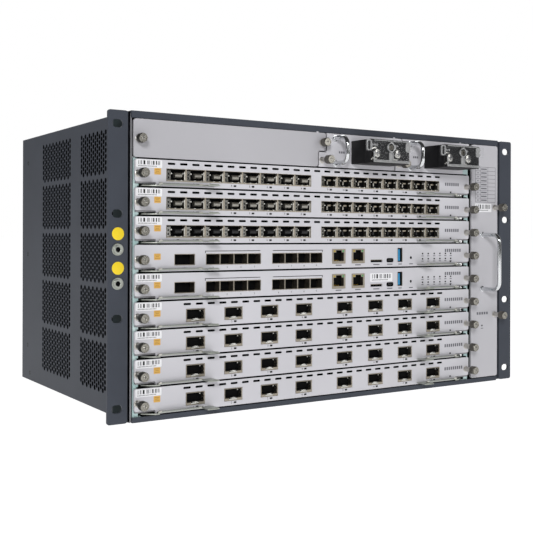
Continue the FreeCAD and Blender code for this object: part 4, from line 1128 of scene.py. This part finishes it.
def makePowerModule(n):
    p = powerRow
    low, high = nodeBox(f"power_module_{n}")
    left, right, foot = low.x, high.x - p["step"], low.z + p["relief"]
    stepX, stepZ = left + p["step"], low.z + p["stepUp"]
    under = stepZ - p["gap"]
    bm = bmesh.new()
    shapeLoop(bm, [(left, foot), (right, foot), (right, stepZ), (high.x, stepZ), (high.x, high.z),
                   (stepX, high.z), (stepX, under), (left, under)], p["corner"])
    fillPlate(bm, plateFront, plateBack)
    case = bmesh.new()
    x0, x1 = (left + x for x in p["caseX"])
    addBlock(case, x0, x1, plateBack, high.y, low.z + p["caseLow"], high.z - p["caseDrop"], 1, 0.6)
    join(bm, case)
    newPiece(bm, f"power_{n}_faceplate", f"power_{n}", [satinPaint, galvanised],
             [f"power_module_{n}"], bevel=0.3)
    thumbscrewPiece(f"power_{n}_thumbscrew", f"power_{n}", [(left + p["screw"][0], low.z + p["screw"][1])])
    handle = bmesh.new()
    inset = p["handleInset"]
    addWireHandle(handle, left + p["handleX"], low.z + inset, high.z - inset, p["reach"])
    newPiece(handle, f"power_{n}_handle", f"power_{n}", [chromedWire])
    ink = bmesh.new()    # plain fields beside the handle, and black ink along the joints to the next panel: painted shade of the gaps
    for k in range(p["fields"]):
        addMark(ink, p["field"], left + p["fieldPitch"] * k, stepZ, 1)
    addInk(ink, left, left + p["seam"], foot + 1, stepZ - 1.2)
    addInk(ink, left + 1, stepX, under - p["seam"], under)
    addInk(ink, stepX, stepX + p["seam"], stepZ, high.z - 1)
    joints = (left, right)[:n]
    for x, shift in zip(joints, p["tabs"]):    # a small locating tab at the top of each joint
        addPart(ink, p["tab"], x + shift, plateFront, high.z, 2, 0.2)
    newPiece(ink, f"power_{n}_print", f"power_{n}", [blackInk, greyInk, satinPaint])


terminal = {"edge": 2.5, "deep": 8.0, "rib": 1.6, "spread": 13.0, "screwUp": 10.1, "slit": (5.4, 0.9),
            "screw": ((0, 0), (6.0, 0), (6.0, -0.9), (4.9, -1.0), (4.8, -3.6), (4.3, -4.6), (3.4, -4.95),
                      (0, -4.95)),
            "stud": ((0, -0.15), (0.8, -0.15), (0.9, 0), (0.9, 0.4)), "studX": 1.9, "studUp": 3.6}


def makeTerminal(n):
    t = terminal
    low, high = nodeBox(f"power_terminal_{n}")
    middle = (low.x + high.x) / 2
    seat = low.y + t["deep"]
    poles = middle - t["spread"], middle + t["spread"]
    screwZ = low.z + t["screwUp"]
    bm = bmesh.new()
    rectLoop(bm, low.x, high.x, low.z, high.z, 0.8, 3)
    for x0, x1 in ((low.x + t["edge"], middle - t["rib"] / 2), (middle + t["rib"] / 2, high.x - t["edge"])):
        rectLoop(bm, x0, x1, low.z + t["edge"], high.z - t["edge"], 0.6, 2)
    fillPlate(bm, low.y, seat)
    base = bmesh.new()
    addBlock(base, low.x, high.x, seat, plateFront, low.z, high.z, 0, 0.5)
    join(bm, base)
    newPiece(bm, f"power_{n}_terminal_block", f"power_{n}", [blackNylon],
             [f"power_terminal_{n}"], bevel=0.35)
    screws = bmesh.new()
    marks = bmesh.new()    # plain white fields over the poles
    for x in poles:
        addLathe(screws, t["screw"], x, screwZ, 36, 0, seat)
        # the cross slots are not cut: grey blocks, painted shade of the slots
        for wide, tall in (t["slit"], t["slit"][::-1]):
            addBlock(screws, x - wide / 2, x + wide / 2, seat - 5.0, seat - 4.4, screwZ - tall / 2,
                     screwZ + tall / 2, 1)
        for k in range(4):
            left = x - 3.0 + 1.9 * k
            addBlock(marks, left, left + 1.2, seat - 0.1, seat + 0.1, high.z - 5.4, high.z - 3.4)
    addLathe(screws, t["stud"], low.x + t["studX"], low.z + t["studUp"], 16, 0, low.y)
    newPiece(screws, f"power_{n}_terminal_screws", f"power_{n}", [nickelSheet, greyInk])
    newPiece(marks, f"power_{n}_pole_fields", f"power_{n}", [whiteLabel])


cover = {"left": 3.0, "right": 0.6, "wingUp": 10.6, "bossUp": 15.0, "sheet": (1.3, 0.2), "bossWide": 6.2,
         "bossHigh": 6.4, "bossHole": 3.7, "wing": 5.8, "wingLeft": 0.3, "wingRight": 12.4}


def makeTerminalCover(n):
    c = cover
    low, high = nodeBox(f"power_cover_{n}")
    block, blockHigh = nodeBox(f"power_terminal_{n}")
    x0, x1 = block.x + c["left"], blockHigh.x - c["right"]
    wingZ, bossZ = low.z + c["wingUp"], low.z + c["bossUp"]
    middle = (block.x + blockHigh.x) / 2
    front, back = (high.y - depth for depth in c["sheet"])
    bm = bmesh.new()
    shapeLoop(bm, [(x0, low.z), (x1, low.z), (x1, wingZ), (high.x, wingZ), (high.x, high.z), (low.x, high.z),
                   (low.x, wingZ), (x0, wingZ)], 1.2, 3)
    fillPlate(bm, front, back)
    newPiece(bm, f"power_{n}_clear_cover", f"power_{n}", [clearCover], [f"power_cover_{n}"],
             bevel=0.2)
    trims = bmesh.new()    # the thick parts of the moulding: boss, stem, foot bar, edge rib and wings
    wide, tall = c["bossWide"], c["bossHigh"]
    shapeLoop(trims, [(middle, bossZ - tall), (middle + wide, bossZ), (middle, bossZ + tall),
                      (middle - wide, bossZ)], 2.6, 5)
    circleLoop(trims, middle, bossZ, c["bossHole"], 28)
    fillPlate(trims, low.y + 0.2, front)
    bars = bmesh.new()
    stem, foot = (low.z + 1.8, bossZ - 5.2), (x0 + 0.3, x1 - 0.3)
    for x in (middle - 2.6, middle + 1.8):
        addBlock(bars, x, x + 0.8, low.y + 0.4, front, *stem, 0, 0.2)
    addBlock(bars, middle - 1.8, middle + 1.8, front - 0.5, front, *stem, 0, 0.1)
    for z in (low.z, low.z + 1.8):
        addBlock(bars, *foot, low.y + 0.1, front, z, z + 0.7, 0, 0.2)
    addBlock(bars, *foot, front - 0.6, front, low.z + 0.6, low.z + 1.9, 0, 0.1)
    addBlock(bars, x0, x0 + 0.8, low.y + 0.4, front, low.z, wingZ, 0, 0.2)
    addBlock(bars, x0 + 0.4, x1 - 0.4, low.y + 0.6, front, high.z - 0.9, high.z, 0, 0.2)
    join(trims, bars)
    for left in (low.x + c["wingLeft"], high.x - c["wingRight"]):
        right = left + c["wing"]
        tab = bmesh.new()
        rectLoop(tab, left, right, wingZ + 0.3, high.z - 0.3, 2.6, 6)
        rectLoop(tab, left + 0.9, right - 0.9, wingZ + 1.2, high.z - 1.2, 1.8, 6)
        fillPlate(tab, low.y, front)
        join(trims, tab)
    addSheet(trims, left + 0.5, right - 0.5, wingZ + 0.8, high.z - 0.8, front - 0.8, front, 0, 2.0)
    newPiece(trims, f"power_{n}_cover_ribs", f"power_{n}", [frostedCover], bevel=0.15)
    screw = bmesh.new()
    face = low.y + 0.6
    addLathe(screw, [(0, back), (1.5, back), (1.5, front), (2.7, front - 0.05), (2.7, face + 0.3),
                     (2.3, face), (0.9, face), (0.8, face + 0.6), (0, face + 0.6)], middle, bossZ, 24)
    # a near-black disc in the boss hole behind the screw: painted shade of the interior
    addLathe(screw, [(3.65, -0.1), (3.65, -0.3), (2.6, -0.3)], middle, bossZ, 24, 1, front)
    newPiece(screw, f"power_{n}_cover_screw", f"power_{n}", [darkNickel, portShadow])


blankPanel = {"corner": 2.4, "screws": ((4.5, 16.4), (-4.4, 24.0))}


def makeBlankPanel():
    p = powerRow
    low, high = nodeBox("blank_panel")
    right, foot, stepZ = high.x - p["step"], low.z + p["relief"], low.z + p["stepUp"]
    bm = bmesh.new()
    shapeLoop(bm, [(low.x, foot), (right, foot), (right, stepZ), (high.x, stepZ), (high.x, high.z),
                   (low.x, high.z)], blankPanel["corner"])
    fillPlate(bm, plateFront, plateBack)
    newPiece(bm, "blank_cover_plate", "chassis", [blankShadedPaint], ["blank_panel"], bevel=0.3)
    places = [((low if x > 0 else high).x + x, low.z + up) for x, up in blankPanel["screws"]]
    thumbscrewPiece("blank_thumbscrews", "chassis", places, thumbscrew["shortNeck"])


def makePowerRow():
    for n in (1, 2):
        makePowerModule(n)
        makeTerminal(n)
        makeTerminalCover(n)
    makeBlankPanel()
    print("power row made")


# Fan tray

fan = {"size": 120.0, "deep": 25.0, "left": 186.0, "y": -35.0, "bore": 57.0, "corner": 5.0, "holes": 52.5,
       "hole": 2.2, "strut": 3.0, "spider": ((0, -3.0), (21.0, -3.0), (21.6, -1), (21.6, 0), (0, 0)),
       "cap": ((0, 1.6), (13.0, 1.6), (13.6, 0.6), (19.6, 0), (20.6, 0.4), (21.0, 1.4)), "hub": 21.0,
       "blades": 5, "root": 20.0, "tip": 54.6, "near": 191.6, "far": 205.2, "chord": 0.62, "sweep": 0.3,
       "thick": 1.7, "guard": (24.0, 34.0, 44.0, 54.0), "wire": 0.8, "spoke": 1.38,
       "foot": ((0, -3.4), (3.2, -3.2), (3.8, -1.4), (3.8, 0), (0, 0))}


def makeRotor(n, place):    # a moulded hub with swept and twisted blades
    f = fan
    low, high = nodeBox(f"fan_rotor_{n}")
    bm = bmesh.new()
    long = high.x - low.x
    addLathe(bm, list(f["cap"]) + [(f["hub"], long), (0, long)], 0, 0, 48, 0, -high.x)
    for k in range(f["blades"]):
        blade = bmesh.new()
        bmesh.ops.create_grid(blade, x_segments=10, y_segments=10, size=0.5)
        for vert in blade.verts:
            along, across = vert.co.y + 0.5, vert.co.x
            radius = f["root"] + (f["tip"] - f["root"]) * along
            angle = across * f["chord"] * (1.05 - 0.3 * along) + f["sweep"] * along ** 2
            rise = (0.5 - across) * (0.98 - 0.28 * along) + 0.14 * math.cos(math.pi * across) - 0.02
            y = -f["near"] - (f["far"] - f["near"] - f["thick"]) * min(max(rise, 0), 1)
            vert.co = (radius * math.cos(angle), y, radius * math.sin(angle))
        bmesh.ops.recalc_face_normals(blade, faces=blade.faces[:])
        bmesh.ops.solidify(blade, geom=blade.faces[:], thickness=f["thick"])
        turn(blade, 2 * math.pi * k / f["blades"], "Y")
        join(bm, blade)
    lay(bm, place, quarter, "Z")
    newPiece(bm, f"fan_{n}_rotor", f"fan_{n}", [fanResin], [f"fan_rotor_{n}"], smooth=50)


def makeFan(n, place):    # drawn about a line along Y, then turned to face the right
    f = fan
    near, far = -f["left"] - f["deep"], -f["left"]
    half, bore = f["size"] / 2, f["bore"] + 0.5
    corners = [(side * f["holes"], up * f["holes"]) for side in (-1, 1) for up in (-1, 1)]
    bm = bmesh.new()
    rectLoop(bm, -half, half, -half, half, f["corner"], 5)
    circleLoop(bm, 0, 0, f["bore"], 64)
    for x, z in corners:
        circleLoop(bm, x, z, f["hole"], 16)
    fillPlate(bm, near, far)
    spider = bmesh.new()
    addLathe(spider, f["spider"], 0, 0, 40, 0, far)
    for wide, tall in ((bore, 4.0), (3.0, bore)):
        addBlock(spider, -wide, wide, far - f["strut"] + 0.2, far - 0.2, -tall, tall, 0, 0.4)
    join(bm, spider)
    lay(bm, place, quarter, "Z")
    newPiece(bm, f"fan_{n}_housing", "fan_tray", [fanResin], bevel=0.4)
    guard = bmesh.new()    # a wire finger guard on the blowing side
    w = f["wire"]
    section = [(w * math.cos(math.pi * k / 4), w * math.sin(math.pi * k / 4)) for k in range(9)]
    for radius in f["guard"]:
        addLathe(guard, [(radius + x, y) for x, y in section], 0, 0, 56, 0, near - w)
    reach = f["holes"] * f["spoke"]
    for angle in (math.pi / 4, -math.pi / 4):
        spoke = bmesh.new()
        addBlock(spoke, -reach, reach, near - 2.6, near - 1.2, -0.8, 0.8, 0, 0.3)
        turn(spoke, angle, "Y")
        join(guard, spoke)
    for x, z in corners:
        addLathe(guard, f["foot"], x, z, 20, 0, near)
    lay(guard, place, quarter, "Z")
    newPiece(guard, f"fan_{n}_guard", "fan_tray", [nickelSheet])
    makeRotor(n, place)


traySheet = {"thick": 1.2, "fold": 6, "foldFront": -94}


def makeTraySheets():
    low, high = nodeBox("fan_tray_frame")
    sheet, fold = traySheet["thick"], traySheet["fold"]
    floor, roof, rear = low.z + sheet, high.z - sheet, high.y - sheet
    tray = bmesh.new()
    for z0, z1 in ((low.z, floor), (roof, high.z)):
        addBlock(tray, low.x, high.x, low.y, high.y, z0, z1, 0, 0.2)
    addBlock(tray, low.x, high.x, rear, high.y, floor, roof, 0, 0.2)
    for edge in (floor, roof - fold):    # stiffening folds along both long edges
        addBlock(tray, low.x, low.x + sheet, traySheet["foldFront"], rear, edge, edge + fold, 0, 0.2)
    newPiece(tray, "fan_tray_sheets", "fan_tray", [galvanised], ["fan_tray_frame"])
    for n, z in ((1, floor + fan["size"] / 2), (2, roof - fan["size"] / 2)):
        makeFan(n, (0, fan["y"], z))


fanTray = {"corner": 2.4, "screwX": 214.9, "screwUp": (68.0, 186.2), "wireX": 196.0, "reach": 25.0,
           "grid": (185.5, 216.0, 192.1, 230.5), "rows": 9, "columns": (0.0, 0.24, 0.62, 1.0), "line": 0.2,
           "cells": ((0.28, 0.56), (0.1, 0.15)), "cellZ": (1.4, 2.8),
           "label": (185.0, 210.0, 181.2, 190.4), "lamp": (196.0, 56.5), "fields": (188.0, 70.0),
           "fieldCount": 5, "fieldPitch": 3.6, "field": (0, 2.4, -1.4, 1.4),
           "lampDot": (-0.9, 0.9, -0.8, 0.8), "lampField": (-1.8, 1.8, -3.4, -2.6)}


def makeTrayPrint(low):
    f = fanTray
    ink = bmesh.new()
    x0, x1, z0, z1 = f["grid"]
    z0, z1 = z0 + low.z, z1 + low.z
    wide, line = x1 - x0, f["line"]
    for k in range(f["rows"] + 1):    # an empty slot table
        z = z0 + (z1 - z0) * k / f["rows"]
        addInk(ink, x0, x1, z - line, z + line, 1)
        for start, end in f["cells"] if k < f["rows"] else ():
            addMark(ink, (wide * start, wide * end, *f["cellZ"]), x0, z, 1)
    for share in f["columns"]:
        x = x0 + wide * share
        addInk(ink, x - line, x + line, z0, z1, 1)
    x, z = f["lamp"]
    addMark(ink, f["lampDot"], x, low.z + z)
    addMark(ink, f["lampField"], x, low.z + z, 1)
    x, z = f["fields"]
    for k in range(f["fieldCount"]):
        addMark(ink, f["field"], x + f["fieldPitch"] * k, low.z + z, 1)
    newPiece(ink, "fan_tray_print", "fan_tray", [blackInk, greyInk])
    label = bmesh.new()
    x0, x1, z0, z1 = f["label"]
    addBarLabel(label, x0, x1, z0 + low.z, z1 + low.z)
    newPiece(label, "fan_tray_label", "fan_tray", [whiteLabel, greyInk, blackInk])


def makeFanTray():
    f = fanTray
    low, high = nodeBox("fan_tray_panel")
    bm = bmesh.new()
    rectLoop(bm, low.x, high.x, low.z, high.z, f["corner"])
    fillPlate(bm, plateFront, plateBack)
    newPiece(bm, "fan_tray_faceplate", "fan_tray", [panelPaint], ["fan_tray_panel"],
             bevel=0.3)
    thumbscrewPiece("fan_tray_thumbscrews", "fan_tray", [(f["screwX"], low.z + up) for up in f["screwUp"]])
    grip, gripHigh = nodeBox("fan_tray_handle")
    handle = bmesh.new()
    addWireHandle(handle, f["wireX"], grip.z + wire["radius"], gripHigh.z - wire["radius"], f["reach"])
    newPiece(handle, "fan_tray_pull", "fan_tray", [chromedWire], ["fan_tray_handle"])
    makeTrayPrint(low)
    makeTraySheets()
    print("fan tray made")


# Stage: white floor, soft light, and the camera

camera = {"place": (-0.5342, -0.8634, 0.1608), "yaw": 0.5727, "roll": -0.0031, "focal": 905.35, "frame": 533,
          "centre": (275.28, 234.94)}
# degrees to the right of the front and above the floor, distance and size in metres, watts
lights = {"keyLight": (-36, 20, 2.6, 0.5, 35), "fillLight": (33, 16, 2.4, 0.9, 6),
          "rimLight": (160, 40, 2.4, 1.4, 14)}
lightAim = Vector((0, -0.15, 0.13))


def makeFloor():
    floor = bmesh.new()
    bmesh.ops.create_grid(floor, x_segments=1, y_segments=1, size=30)
    mesh = bpy.data.meshes.new("floor")
    floor.to_mesh(mesh)
    floor.free()
    paper, shader, _ = newMaterial("whiteFloorPaper", Roughness=0.9)
    feed(shader, {"Base Color": linear("#9a9a9a"), "Emission Color": linear("#ffffff"),
                  "Emission Strength": 0.94})
    mesh.materials.append(paper)
    piece = bpy.data.objects.new("floor", mesh)
    piece.location.z = cadLow.z - 0.0002
    bpy.context.scene.collection.objects.link(piece)


def makeWorld():    # white behind the part, dark behind the camera, and seen white from every side
    world = bpy.data.worlds.new("studio")
    bpy.context.scene.world = world
    world.use_nodes = True
    way = addNode(world, "ShaderNodeTexCoord", {}).outputs["Generated"]
    ahead = (math.sin(camera["yaw"]), math.cos(camera["yaw"]), 0)
    facing = addNode(world, "ShaderNodeVectorMath", {0: way, 1: ahead}, operation="DOT_PRODUCT")
    ramp = addNode(world, "ShaderNodeMapRange", {"Value": facing.outputs["Value"], "From Min": 0.05,
                                                 "From Max": 0.88, "To Min": 0.05, "To Max": 0.46})
    seen = addNode(world, "ShaderNodeLightPath", {}).outputs["Is Camera Ray"]
    lit = addNode(world, "ShaderNodeMath", {0: ramp.outputs["Result"], 1: seen}, operation="MAXIMUM")
    feed(world.node_tree.nodes["Background"], {"Color": (1, 1, 1, 1), "Strength": lit.outputs["Value"]})


def makeLights():
    for name, (aside, rise, away, size, watts) in lights.items():
        aside, rise = math.radians(aside), math.radians(rise)
        light = bpy.data.lights.new(name, "AREA")
        light.size = size
        light.energy = watts
        lamp = bpy.data.objects.new(name, light)
        way = Vector((math.sin(aside) * math.cos(rise), -math.cos(aside) * math.cos(rise), math.sin(rise)))
        lamp.location = lightAim + away * way
        lamp.rotation_euler = way.to_track_quat("Z", "Y").to_euler()
        bpy.context.scene.collection.objects.link(lamp)


def makeCamera():
    c = camera
    lens = bpy.data.cameras.new("camera")
    lens.sensor_width = 36
    lens.lens = c["focal"] / c["frame"] * lens.sensor_width
    lens.shift_x = (c["frame"] / 2 - c["centre"][0]) / c["frame"]
    lens.shift_y = (c["centre"][1] - c["frame"] / 2) / c["frame"]
    lens.clip_start = 0.01
    piece = bpy.data.objects.new("camera", lens)
    piece.location = c["place"]
    piece.rotation_euler = (quarter, c["roll"], -c["yaw"])
    bpy.context.scene.collection.objects.link(piece)
    bpy.context.scene.camera = piece
    bpy.context.scene.view_settings.view_transform = "Standard"


makeFloor()
makeWorld()
makeLights()
makeCamera()
makeChassis()
makeCards()
makePowerRow()
makeFanTray()
